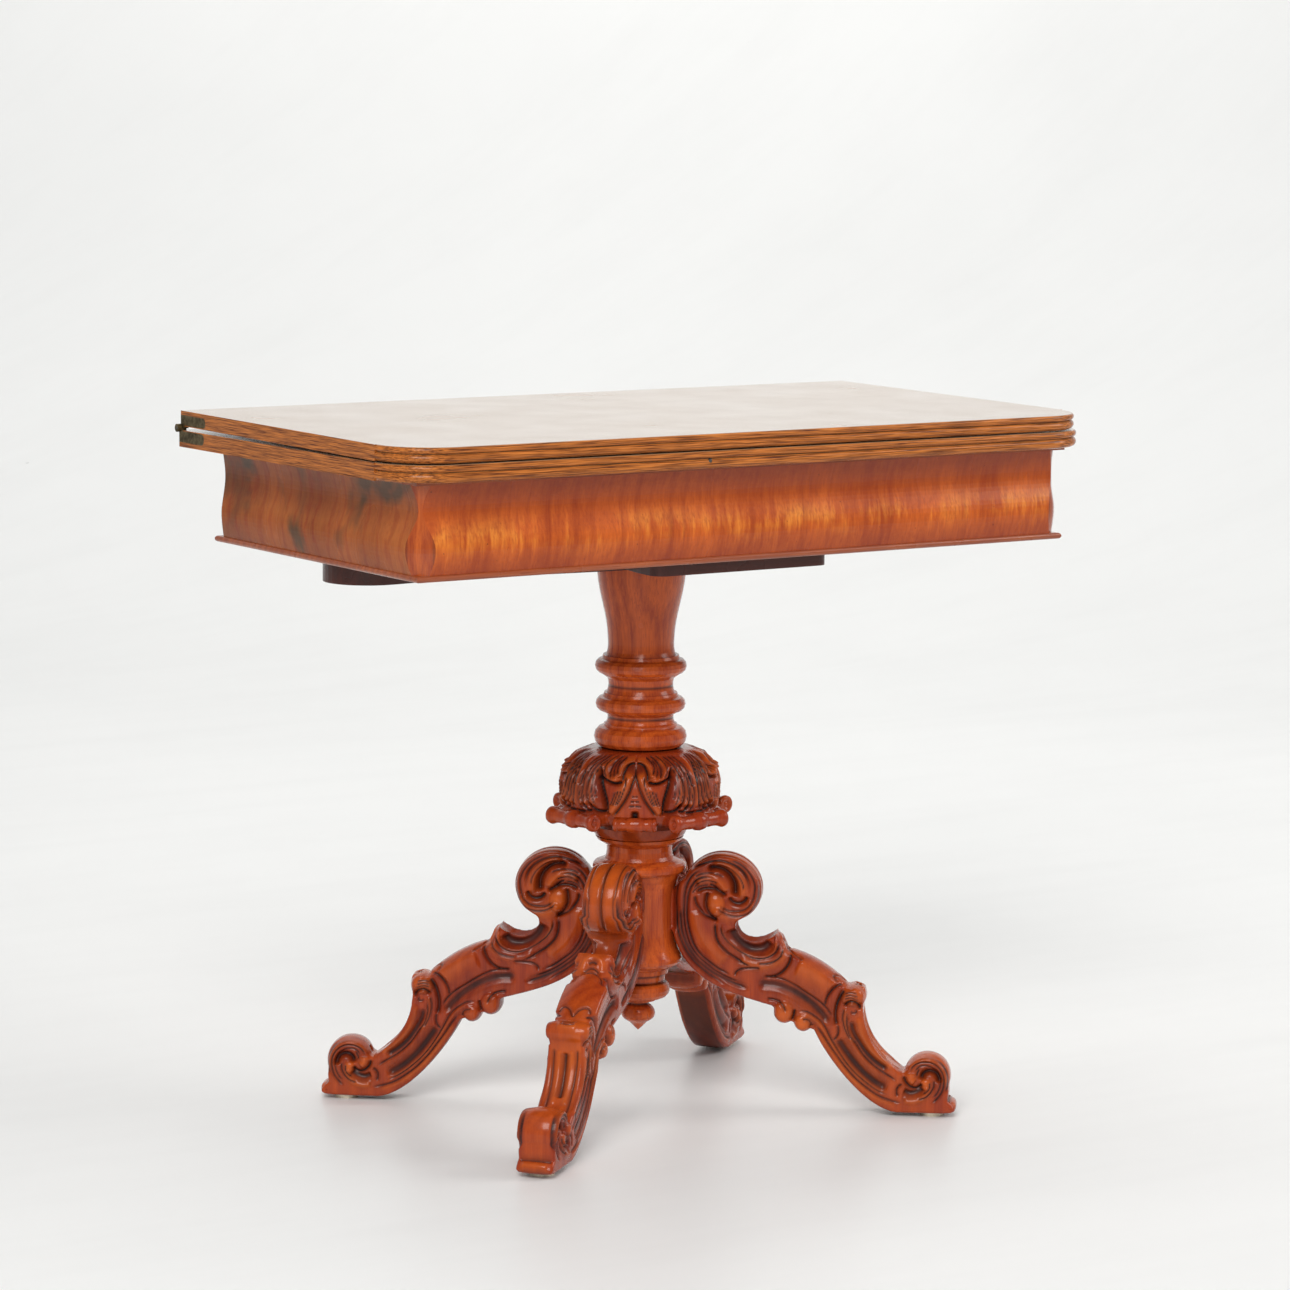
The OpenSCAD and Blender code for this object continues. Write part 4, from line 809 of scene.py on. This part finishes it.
# Carving of the narrow faces: stretch, width, depth or height, then points that are
# [millimetres along the named stretch, millimetres across]
RIM_CUTS = [
    ("volute", 1.7, 3.4, [(18, 0), (60, 0), (110, 0), (158, 0)]),
    ("volute", 1.0, 1.2, [(18, 15.5), (60, 15.5), (110, 15), (155, 14)]),
    ("leaf", 1.8, 1.6, [(15, -5.5), (13, 0), (15, 5.5)]),
    ("leaf", 1.1, 1.6, [(25, -9), (21, -4), (20, 0), (21, 4), (25, 9)]),
    ("panel", 1.2, 2.4, [(20, 19), (8, 15), (2, 8), (0, 0), (2, -8), (8, -15), (20, -19)]),
    ("panel", 1.2, 2.2, [(66, 19), (58, 14), (62, 6), (71, 0), (62, -6), (58, -14), (66, -19)]),
    ("knee", 1.8, 3.2, [(12, -8), (13.5, -4), (14, 0), (13.5, 4), (12, 8)]),
    ("knee", 0.9, 1.6, [(8, -10), (9.5, -5), (10, 0), (9.5, 5), (8, 10)]),
    ("shin", 3.0, 2.8, [(8, 0), (30, 0), (58, 0)]),
    ("shin", 1.3, 2.0, [(4, 14.5), (30, 14), (60, 13), (84, 12)]),
    ("foot", 4.0, 4.0, [(2, 0), (10, 0)]),
    ("toe", 1.4, 2.2, [(2, -20), (2, 0), (2, 20)]),
]
RIM_RIDGES = [
    ("leaf", 2.2, 1.0, [(23, -13), (12, -10.5), (6, 0), (12, 10.5), (23, 13)]),
    ("knee", 3.5, 1.2, [(18, -12), (18, 0), (18, 12)]),
    ("shin", 2.4, 1.0, [(6, 7.5), (30, 7.5), (66, 7)]),
    ("toe", 3.5, 1.2, [(9, -16), (9, 0), (9, 16)]),
]


def rim_values(table, names, counts):
    """One value for each point of the edge, softened where two stretches meet"""
    raw = np.concatenate([np.full(n, table.get(k, 0.0)) for k, n in zip(names, counts)])
    wide = 5
    around = np.concatenate([raw[-wide:], raw, raw[:wide]])
    return np.convolve(around, np.ones(2 * wide + 1) / (2 * wide + 1), "valid")


def sawn_leg(name, edge):
    """A dense skin over the blank, its length along X and its thickness along Y"""
    bm = bmesh.new()
    face = bm.faces.new([bm.verts.new((x, -LEG_HALF, y)) for x, y in edge])
    moved = bmesh.ops.extrude_face_region(bm, geom=[face])
    bmesh.ops.translate(bm, vec=(0, 2 * LEG_HALF, 0),
                        verts=[v for v in moved["geom"] if isinstance(v, bmesh.types.BMVert)])
    piece = linked(name, mesh_of(bm, name))
    skin = piece.modifiers.new("Skin", "REMESH")
    skin.mode = "VOXEL"
    skin.voxel_size = bpy.context.scene.carving_sizes.skin
    view = bpy.context.evaluated_depsgraph_get()
    dense = bpy.data.meshes.new_from_object(piece.evaluated_get(view))
    bpy.data.objects.remove(piece)
    return dense


def rim_relief(places, begins):
    """Relief of the narrow faces, at places of [millimetres along the edge, across it]"""
    rim = Relief(places)
    for table, act in ((RIM_RIDGES, rim.rise), (RIM_CUTS, rim.cut)):
        for stretch, width, size, line in table:
            both = [line] if min(v for _, v in line) <= 0 else [line, [(u, -v) for u, v in line]]
            for one in both:
                act([(begins[stretch] + u, v) for u, v in one], width, size, end=0.06)
    return rim


class EdgePlaces:
    """Where each point of a leg's side plane lies along the closed edge round it"""

    def __init__(self, flat, parts):
        self.edge = np.vstack(list(parts.values()))
        self.counts = [len(v) for v in parts.values()]
        self.names = list(parts)
        loop = np.vstack([self.edge, self.edge[:1]])
        self.far, along = nearest(flat, loop)
        where = along * len(self.edge)
        self.index = np.floor(where).astype(int) % len(self.edge)
        self.after = (self.index + 1) % len(self.edge)
        self.part = where - np.floor(where)
        steps = np.linalg.norm(np.diff(loop, axis=0), axis=1)
        self.lengths = np.concatenate([[0], np.cumsum(steps)])

    def blend(self, row):
        """Values of the two nearest points of the edge, mixed by nearness"""
        part = self.part[:, None] if row.ndim > 1 else self.part
        return row[self.index] * (1 - part) + row[self.after] * part

    def value(self, table):
        return self.blend(rim_values(table, self.names, self.counts))

    def inward(self):
        run = np.roll(self.edge, -1, 0) - np.roll(self.edge, 1, 0)
        inward = np.stack([run[:, 1], -run[:, 0]], 1)
        return self.blend(inward / np.linalg.norm(inward, axis=1)[:, None])

    def walked(self):
        """Millimetres along the edge, from where it starts"""
        step = self.lengths[self.index + 1] - self.lengths[self.index]
        return self.lengths[self.index] + self.part * step

    def begins(self):
        starts = np.concatenate([[0], np.cumsum(self.counts)[:-1]])
        return dict(zip(self.names, self.lengths[starts]))


def carve_leg_mesh(name):
    """One leg in its own plane: the sawn blank, its narrow faces, then its two sides"""
    parts = {k: make() for k, make in LEG_EDGE.items()}
    dense = sawn_leg(name, np.vstack(list(parts.values())))
    co = get_points(dense)
    flat = co[:, [0, 2]].copy()
    depth = co[:, 1].copy()
    places = EdgePlaces(flat, parts)
    crown, hollow, painted_shade = (places.value(table) for table in (RIM_CROWN, RIM_HOLLOW, RIM_PAINTED_SHADE))
    # narrow faces: each point near the edge is pulled in along the side plane
    near_rim = places.far < RIM_BAND
    rim = rim_relief(np.stack([places.walked(), depth], 1)[near_rim], places.begins())
    rim_height, rim_dark, rim_ridge = (np.zeros(len(flat)) for _ in range(3))
    rim_height[near_rim] = rim.height
    rim_dark[near_rim] = 0.8 * rim.dark
    rim_ridge[near_rim] = rim.ridge
    share = np.clip(depth / LEG_HALF, -1, 1)
    sink = crown * np.abs(share) ** 2.6 + hollow * (1 - share ** 2) - rim_height
    flat += places.inward() * (sink * np.clip(1 - places.far / RIM_BAND, 0, 1))[:, None]
    # sides: the relief thickens or thins the leg from the middle plane out
    face = leg_relief(flat)
    soft_edge = 2.2 * np.clip(1 - places.far / 3.0, 0, 1) ** 2
    root = smooth_step(co[:, 0], 44, 38) * smooth_step(flat[:, 1], 190, 200)
    half = LEG_HALF + face.height - soft_edge - ROOT_SAWN * root
    set_points(dense, np.stack([flat[:, 0], share * half, flat[:, 1]], 1))
    on_side = smooth_step(np.abs(share), 0.86, 0.99)
    on_rim = (1 - on_side) * np.clip(1 - places.far / 6, 0, 1)
    # painted shade in the cuts of the sides, and on the narrow faces in their cuts, hollows and
    # undersides
    set_mask(dense, "cut_shade", face.dark * on_side + on_rim * np.maximum(rim_dark, painted_shade))
    # worn polish and painted highlight on the raised places, and over the whole of the narrow faces
    set_mask(dense, "ridge", face.ridge * on_side + on_rim * (0.3 + 0.5 * rim_ridge))
    return dense


# Carved bulb: its face is unrolled to [millimetres from the nearest panel's middle, height],
# and each line has a width, a depth or height, and its points

BULB_CUTS = [
    # hood over the panel, ending in a curl on each side
    (1.7, 4.8, [(0, 89.5), (7, 88.5), (12, 85.5), (14.3, 80), (14.6, 75), (14, 71)]),
    (1.8, 5.0, [(13.5, 71.5), (20, 69.6), (27, 69.6), (34, 71.5), (40, 75), (43, 81), (44.5, 88)]),
    (1.1, 2.8, [(18.5, 79.5), (22.5, 81), (24.5, 85), (22, 90), (14, 95)]),
    (1.2, 3.0, [(28, 74), (31.5, 79.5), (32, 86), (28, 92), (20, 97)]),
    (1.1, 2.4, [(34, 74.5), (38, 81), (38.5, 88), (34, 94), (27, 98)]),
    (0.9, 1.8, [(23, 76), (27.5, 81), (27.8, 87), (22, 93)]),
    # two folds of drapery under it, and the scored triangle between them
    (1.3, 3.4, [(0, 88), (0.4, 78), (3.4, 69), (6.4, 60.5), (10.5, 52.5), (16, 44.5), (25, 33)]),
    (0.9, 2.2, [(22.5, 61), (25, 52.5), (28, 45.5)]),
    (0.9, 2.2, [(19, 62.5), (21.5, 53.5), (25, 45)]),
    (0.9, 2.0, [(15.5, 63), (17.8, 54.5), (21.5, 46)]),
    (0.8, 1.6, [(11, 78), (10.5, 70), (12.4, 62), (15.5, 54), (21, 44.5)]),
    (0.9, 1.7, [(0, 56), (3.2, 55.8)]),
    (0.9, 1.7, [(0, 50.8), (5, 50.4)]),
    (0.9, 1.7, [(0, 45.8), (7, 45.2)]),
    # deep shadow between panel and corner leaf
    (2.3, 7.5, [(43.5, 84), (41, 72), (38, 62), (34.5, 51), (32.5, 41), (33.5, 34)]),
    # three pointed lobes of the corner leaf, each with its veins
    (1.4, 4.2, [(38, 98), (46.5, 91), (51.5, 81), (54, 69), (54, 57.5), (51, 48.5), (46, 42.5)]),
    (1.9, 5.0, [(33, 38.5), (40, 39), (46.5, 42), (51, 48)]),
    (0.9, 1.8, [(37, 95), (44, 87), (47.4, 76), (47.8, 64), (45.4, 53), (40.5, 44.5)]),
    (0.8, 1.4, [(44.5, 92), (49.4, 82), (51, 70), (50.6, 58), (47.4, 48.5)]),
    (0.8, 1.4, [(41.5, 83), (44, 73), (44, 62), (41.5, 52)]),
    (1.4, 3.8, [(45, 98), (53.5, 91), (58.5, 80), (60.8, 68), (60.6, 56), (58, 46.5), (53.5, 40)]),
    (0.9, 1.6, [(50.5, 92), (55.5, 82), (57.6, 70), (57.6, 58), (54.8, 48)]),
    (1.6, 4.0, [(47, 40), (53, 38.6), (57, 41.5), (60, 47)]),
    (1.3, 3.2, [(52.5, 98), (60, 90.5), (64.4, 79.5), (66.2, 67), (66, 54), (63.6, 43), (60, 36.5)]),
    (0.8, 1.4, [(57, 93), (61.6, 83), (63.6, 71), (63.6, 58), (61.2, 47)]),
    (1.5, 3.6, [(56, 37.5), (62, 37), (69, 37.5)]),
    (1.8, 3.6, [(62.5, 80), (64.5, 72), (65, 65)]),
]
BULB_RIDGES = [
    (3.6, 5.5, [(0, 93), (9, 92), (16, 87.5), (18.5, 80.5), (19, 75)]),
    (4.2, 4.5, [(18, 75), (25, 73.5), (32, 76), (36.5, 81.5), (37, 88), (31, 95)]),
    (5.5, 4.5, [(5, 82), (9.5, 70), (15.5, 58), (22.5, 46), (29.5, 35)]),
    (3.4, 4.0, [(42.5, 92), (47.8, 80), (49.4, 67), (47.2, 54), (41, 44)]),
    (2.2, 2.0, [(53, 78), (53.6, 66), (51.6, 55), (47, 46.5)]),
    (3.0, 3.6, [(51, 93), (56, 81), (57.8, 68), (56.8, 54), (52.4, 43.5)]),
    (3.0, 3.4, [(58.5, 93), (63, 80), (64.2, 66), (63, 52), (59.4, 42)]),
    (2.0, 2.4, [(69, 96), (69, 70), (69, 41)]),
]


def bulb_base(height):
    """Radius of the uncarved bulb at a height above its underside: a bowl, then the dome"""
    bowl = 46 + 7 * np.sqrt(np.clip(height / 13.2, 0, 1))
    swell = 53 + 35 * np.sqrt(np.clip((height - 13.2) / 20.9, 0, 1))
    high = np.clip(height - 48.75, 0, 48.75) / 48.75
    dome = 47 + 41 * np.sqrt(np.clip(1 - high ** 2.2, 0, 1))
    return np.minimum(np.where(height < 13.2, bowl, swell), dome)


def carve_bulb_mesh(name):
    turns = bpy.context.scene.carving_sizes.bulb_turns
    rows = 130
    bm = bmesh.new()
    line = [bm.verts.new((bulb_base(z), 0, z)) for z in np.linspace(0, BULB_HEIGHT, rows)]
    bore = [bm.verts.new((BULB_BORE, 0, z)) for z in (0, BULB_HEIGHT)]
    spin_round(bm, bore[:1] + line + bore[1:], turns)
    mesh = mesh_of(bm, name)
    co = get_points(mesh)
    radius = np.hypot(co[:, 0], co[:, 1])
    angle = np.degrees(np.arctan2(co[:, 1], co[:, 0]))
    turn = (angle - PANEL_TURN + 45) % 90 - 45
    side = np.abs(np.radians(turn) * BULB_RADIUS)
    z = co[:, 2]
    face = Relief(np.stack([side, z], 1))
    leaf = smooth_step(side, 33, 44) * smooth_step(z, 26, 37)
    face.height += 3.0 * leaf - 3.0 * (1 - leaf) * smooth_step(z, 20, 37)
    # flat seats for the rolls, across each corner leaf and each panel
    from_leaf = np.radians(np.abs(45 - np.abs(turn)))
    lip = 94 / np.cos(from_leaf) - 3.0 - radius
    face.height += lip * np.exp(-((z - 28) / 6.5) ** 4) * (1 - smooth_step(from_leaf, 0.36, 0.41))
    panel_lip = 82 / np.cos(np.radians(turn)) - 2.0 - radius
    seat = np.exp(-((z - 25) / 6) ** 4) * (1 - smooth_step(side, 24, 28))
    face.height += np.maximum(panel_lip, 0) * seat
    for width, height, points in BULB_RIDGES:
        face.rise(points, width, height)
    for width, depth, points in BULB_CUTS:
        face.cut(points, width, depth)
    face.ball((21, 76), (8.5, 5.5), 3.5)
    # painted shade under the hood, which is also sunk, then the square hole at the foot of the
    # panel, sunk and filled with painted shade
    shade = np.exp(-((side / 13) ** 4)) * smooth_step(z, 90, 86) * smooth_step(z, 74, 85)
    notch = np.exp(-((side / 4) ** 4)) * np.exp(-(((z - 34.5) / 5) ** 4))
    face.dark = np.maximum(np.maximum(face.dark, 0.5 * shade), notch)
    face.height -= 3.0 * shade + 6 * notch
    keep = smooth_step(z, 15, 24) * smooth_step(z, BULB_HEIGHT, 94) * (radius > 30)
    co[:, :2] *= ((radius + face.height * keep) / radius)[:, None]
    # painted shade in the band under the rolls
    under = smooth_step(z, 28, 20) * smooth_step(z, 11, 15)
    set_points(mesh, co)
    set_mask(mesh, "cut_shade", np.maximum(face.dark * keep, under * 0.9))
    set_mask(mesh, "ridge", face.ridge * keep)
    return mesh


# Rolls under the corner leaves and the panels: [millimetres from the middle, radius] of the
# profile, then reach from the column's axis, height on the bulb and degrees from a panel
EAR_ROLL = [(35.8, 0), (35.8, 1.8), (34.6, 2.8), (34.6, 3.8), (36.3, 4.8), (36.5, 7.4),
            (35.2, 9.4), (32, 9.8), (28.5, 8.6), (24, 7.4), (18, 7.2), (12.5, 7.6), (8.5, 7),
            (5.5, 9.2), (0, 10)]
PANEL_ROLL = [(23.5, 0), (23.5, 5), (22.6, 6.6), (20.6, 7), (19.2, 6.8), (18.6, 5.8),
              (18, 6.6), (12.5, 6.5), (9, 6), (7.6, 7.4), (3.5, 7.8), (0, 7.8)]
ROLLS = {"ear_roll": (EAR_ROLL, 95, 28, 45), "panel_roll": (PANEL_ROLL, 83, 25, 0)}


def turned_roll(name, profile, spot):
    """A roll lying along X, spun from half its length and mirrored, then put in its spot"""
    bm = bmesh.new()
    full = [(-x, r) for x, r in profile] + [(x, r) for x, r in profile[-2::-1]]
    spin_round(bm, [bm.verts.new((max(r, 0.001), 0, x)) for x, r in full], 40)
    bmesh.ops.remove_doubles(bm, verts=bm.verts, dist=0.01)
    bmesh.ops.transform(bm, matrix=spot, verts=bm.verts)
    return mesh_of(bm, name)


# Operators

class Builder:
    """Shared by all operators, which raise when a piece can't be made"""
    bl_options = {"REGISTER"}

    def execute(self, context):
        self.build(context)
        return {"FINISHED"}


class TABLE_OT_finishes(Builder, bpy.types.Operator):
    """Mix every wood, metal and cloth finish"""
    bl_idname = "games_table.finishes"
    bl_label = "Mix Finishes"

    def build(self, context):
        c = colours()
        wood_grain_group()
        carving_group()
        carved_material()
        turned_material()
        flame_material("flame_veneer_front", "X", False)
        flame_material("flame_veneer_side", "Y", True)
        corner_material()
        leaf_material()
        board_material("frame_wood", c.frame, c.frame_dark, 0.35, 0.8)
        board_material("under_wood", c.under, tuple(v * 0.45 for v in c.under), 0.1, 0.4)
        metal_material("aged_brass", c.brass, 0.35)
        metal_material("glide_brass", c.glide, 0.75)
        metal_material("dark_steel", c.steel, 0.5)
        baize_material()


class TABLE_OT_boards(Builder, bpy.types.Operator):
    """Finish the leaves, frieze, bearers and brassware that keep their sawn shape"""
    bl_idname = "games_table.boards"
    bl_label = "Finish Boards"

    def build(self, context):
        table = {
            "leaf_wood": ["leaf_upper", "leaf_lower"],
            "flame_veneer_front": ["frieze_front", "frieze_back"],
            "corner_wood": ["corner_blocks"],
            "flame_veneer_side": ["frieze_left", "frieze_right"],
            "frame_wood": ["cap_fillet", "bottom_bead"],
            "under_wood": ["box_floor", "well_partition", "pivot_rail", "stop_peg",
                           "long_bearer", "cross_bearer"],
            "aged_brass": ["hinge_plates_upper", "hinge_plates_lower", "hinge_screws_upper",
                           "hinge_screws_lower", "leg_screws"],
            "glide_brass": ["glides"],
            "dark_steel": ["hinge_pins", "edge_pin", "pivot_bolt", "pivot_screws",
                           "pivot_washer", "pivot_nut", "bearer_screws", "glide_nails"],
            "baize": ["baize_upper", "baize_lower"],
            "turned_wood": ["column_shaft", "leg_hub", "drop_finial"],
        }
        for name, nodes in table.items():
            for node in nodes:
                mesh = frame["nodes"][node].data
                mesh.materials.clear()
                mesh.materials.append(need(name))


class TABLE_OT_legs(Builder, bpy.types.Operator):
    """Carve the four scroll legs"""
    bl_idname = "games_table.legs"
    bl_label = "Carve Legs"

    def build(self, context):
        dense = carve_leg_mesh("leg_blank")
        for node, turn in LEG_TURNS.items():
            mesh = dense.copy()
            mesh.name = "carved_" + node
            mesh.transform(Matrix.Rotation(math.radians(turn), 4, "Z")
                           @ Matrix.Translation((0, 0, GLIDE_HEIGHT * MM))
                           @ Matrix.Scale(MM, 4))
            piece = carved_piece("carved_" + node, mesh)
            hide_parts(node)


class TABLE_OT_bulb(Builder, bpy.types.Operator):
    """Carve the bulb with its leaves, panels and rolled ends"""
    bl_idname = "games_table.bulb"
    bl_label = "Carve Bulb"

    def build(self, context):
        mesh = carve_bulb_mesh("carved_bulb_skin")
        lift = Matrix.Translation((0, 0, BULB_BOTTOM * MM)) @ Matrix.Scale(MM, 4)
        mesh.transform(lift)
        piece = carved_piece("carved_bulb_skin", mesh)
        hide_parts("carved_bulb")
        for i in range(4):
            for kind, (profile, reach, height, turn) in ROLLS.items():
                spot = (Matrix.Rotation(math.radians(PANEL_TURN + turn + 90 * i), 4, "Z")
                        @ Matrix.Translation((reach, 0, height))
                        @ Matrix.Rotation(math.pi / 2, 4, "X"))
                name = "%s_%d" % (kind, i)
                carved_piece(name, turned_roll(name, profile, lift @ spot))


class TABLE_OT_studio(Builder, bpy.types.Operator):
    """Set the pale floor and backdrop, the lamps and the camera"""
    bl_idname = "games_table.studio"
    bl_label = "Set Studio"

    def build(self, context):
        settings = context.scene.studio_settings
        self.paint(settings)
        self.paper()
        self.lamps(settings)
        self.camera(context, settings)

    def paint(self, settings):
        """Scuffed paper with streaks and a few grey chips"""
        s, body, where = new_material("paper")
        patch = s.noise(where, 1.3, 4, 0.6)
        streak = s.noise(s.stretch(where, (0.8, 6, 1), (0, 0, 0.6)), 1.5, 4, 0.7)
        worn = s.math("MULTIPLY_ADD", s.span(streak, 0.45, 0.75), 0.05,
                      s.span(patch, 0.4, 0.7, 0, 0.06))
        pale = s.mix(worn, settings.paper, tuple(v * 0.55 for v in settings.paper))
        chip = s.span(s.noise(where, 5.0, 5, 0.62), 0.735, 0.755)
        s.feed(body.inputs["Base Color"], s.mix(chip, pale, (0.4, 0.41, 0.4)))
        body.inputs["Roughness"].default_value = 0.38

    def paper(self):
        """Floor, round bend and wall in one sheet, turned to face the camera"""
        half_width, front, wall, top, bend, parts = 9.0, -9.0, 5.5, 7.0, 2.5, 12
        bm = bmesh.new()
        edge = bm.edges.new([bm.verts.new((x, front, 0)) for x in (-half_width, half_width)])
        path = [(0, front, 0), (0, wall - bend, 0)]
        for i in range(1, parts + 1):
            a = math.pi / 2 * i / parts
            path.append((0, wall - bend + bend * math.sin(a), bend - bend * math.cos(a)))
        path.append((0, wall, top))
        for here, there in zip(path, path[1:]):
            made = bmesh.ops.extrude_edge_only(bm, edges=[edge])["geom"]
            verts = [v for v in made if isinstance(v, bmesh.types.BMVert)]
            bmesh.ops.translate(bm, verts=verts, vec=Vector(there) - Vector(here))
            edge = [e for e in made if isinstance(e, bmesh.types.BMEdge)
                    and all(v in verts for v in e.verts)][0]
        bmesh.ops.rotate(bm, verts=bm.verts, cent=(0, 0, 0),
                         matrix=Matrix.Rotation(math.radians(-33), 3, "Z"))
        smooth_object("paper_roll", mesh_of(bm, "paper_roll"), need("paper"))

    def lamps(self, settings):
        world = bpy.data.worlds.new("studio")
        bpy.context.scene.world = world
        world.use_nodes = True
        sky = Shader(world.node_tree)
        path = sky.add("LightPath").outputs
        white = sky.mix(path["Is Camera Ray"], (0.36, 0.366, 0.372), (0.88, 0.885, 0.89))
        light = sky.add("Background", {"Color": white, "Strength": 1.0})
        end = sky.add("OutputWorld")
        sky.tree.links.new(light.outputs[0], end.inputs[0])
        for name, spot, aim, size, power in (
                ("key", (-3.0, -3.2, 3.6), (0, 0, 0.45), 2.8, settings.key),
                ("fill", (3.4, -2.0, 2.6), (0, 0, 0.45), 2.0, settings.fill),
                ("wash", (1.0, 1.4, 4.5), (3.0, 5.0, 1.2), 3.0, settings.wash)):
            data = bpy.data.lights.new(name, "AREA")
            data.energy = power
            data.size = size
            data.color = (1.0, 0.985, 0.96)
            lamp = linked(name, data)
            lamp.location = spot
            facing = (Vector(spot) - Vector(aim)).to_track_quat("Z", "Y")
            lamp.rotation_euler = facing.to_euler()

    def camera(self, context, settings):
        az, el, roll = (math.radians(v) for v in CAMERA_TURNS)
        back = Vector((math.sin(az) * math.cos(el), -math.cos(az) * math.cos(el), math.sin(el)))
        right = Vector((math.cos(az), math.sin(az), 0))
        up = back.cross(right)
        turned_right = right * math.cos(roll) + up * math.sin(roll)
        turned_up = -right * math.sin(roll) + up * math.cos(roll)
        data = bpy.data.cameras.new("photo_camera")
        data.lens = settings.lens
        data.sensor_width = 36
        camera = linked("photo_camera", data)
        rows = zip(turned_right, turned_up, back, CAMERA_PLACE)
        camera.matrix_world = Matrix((*rows, (0, 0, 0, 1)))
        context.scene.camera = camera
        context.scene.view_settings.view_transform = "Standard"


class TABLE_PT_panel(bpy.types.Panel):
    """Sidebar list of the table's pieces and settings"""
    bl_label = "Games Table"
    bl_space_type = "VIEW_3D"
    bl_region_type = "UI"
    bl_category = "Games Table"

    def draw(self, context):
        for operator in OPERATORS:
            self.layout.operator(operator.bl_idname)
        for settings in (context.scene.table_colours, context.scene.carving_sizes,
                         context.scene.studio_settings):
            box = self.layout.box()
            for key in settings.__annotations__:
                box.prop(settings, key)


SETTINGS = {"table_colours": TableColours, "carving_sizes": CarvingSizes,
            "studio_settings": StudioSettings}
OPERATORS = [TABLE_OT_finishes, TABLE_OT_boards, TABLE_OT_legs, TABLE_OT_bulb, TABLE_OT_studio]


def register():
    for name, kind in SETTINGS.items():
        bpy.utils.register_class(kind)
        setattr(bpy.types.Scene, name, PointerProperty(type=kind))
    for kind in OPERATORS + [TABLE_PT_panel]:
        bpy.utils.register_class(kind)


def unregister():
    for kind in [TABLE_PT_panel] + OPERATORS[::-1]:
        bpy.utils.unregister_class(kind)
    for name, kind in SETTINGS.items():
        delattr(bpy.types.Scene, name)
        bpy.utils.unregister_class(kind)


def main():
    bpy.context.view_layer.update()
    register()
    bpy.ops.games_table.finishes()
    bpy.ops.games_table.boards()
    bpy.ops.games_table.legs()
    bpy.ops.games_table.bulb()
    bpy.ops.games_table.studio()


if __name__ == "__main__":
    main()
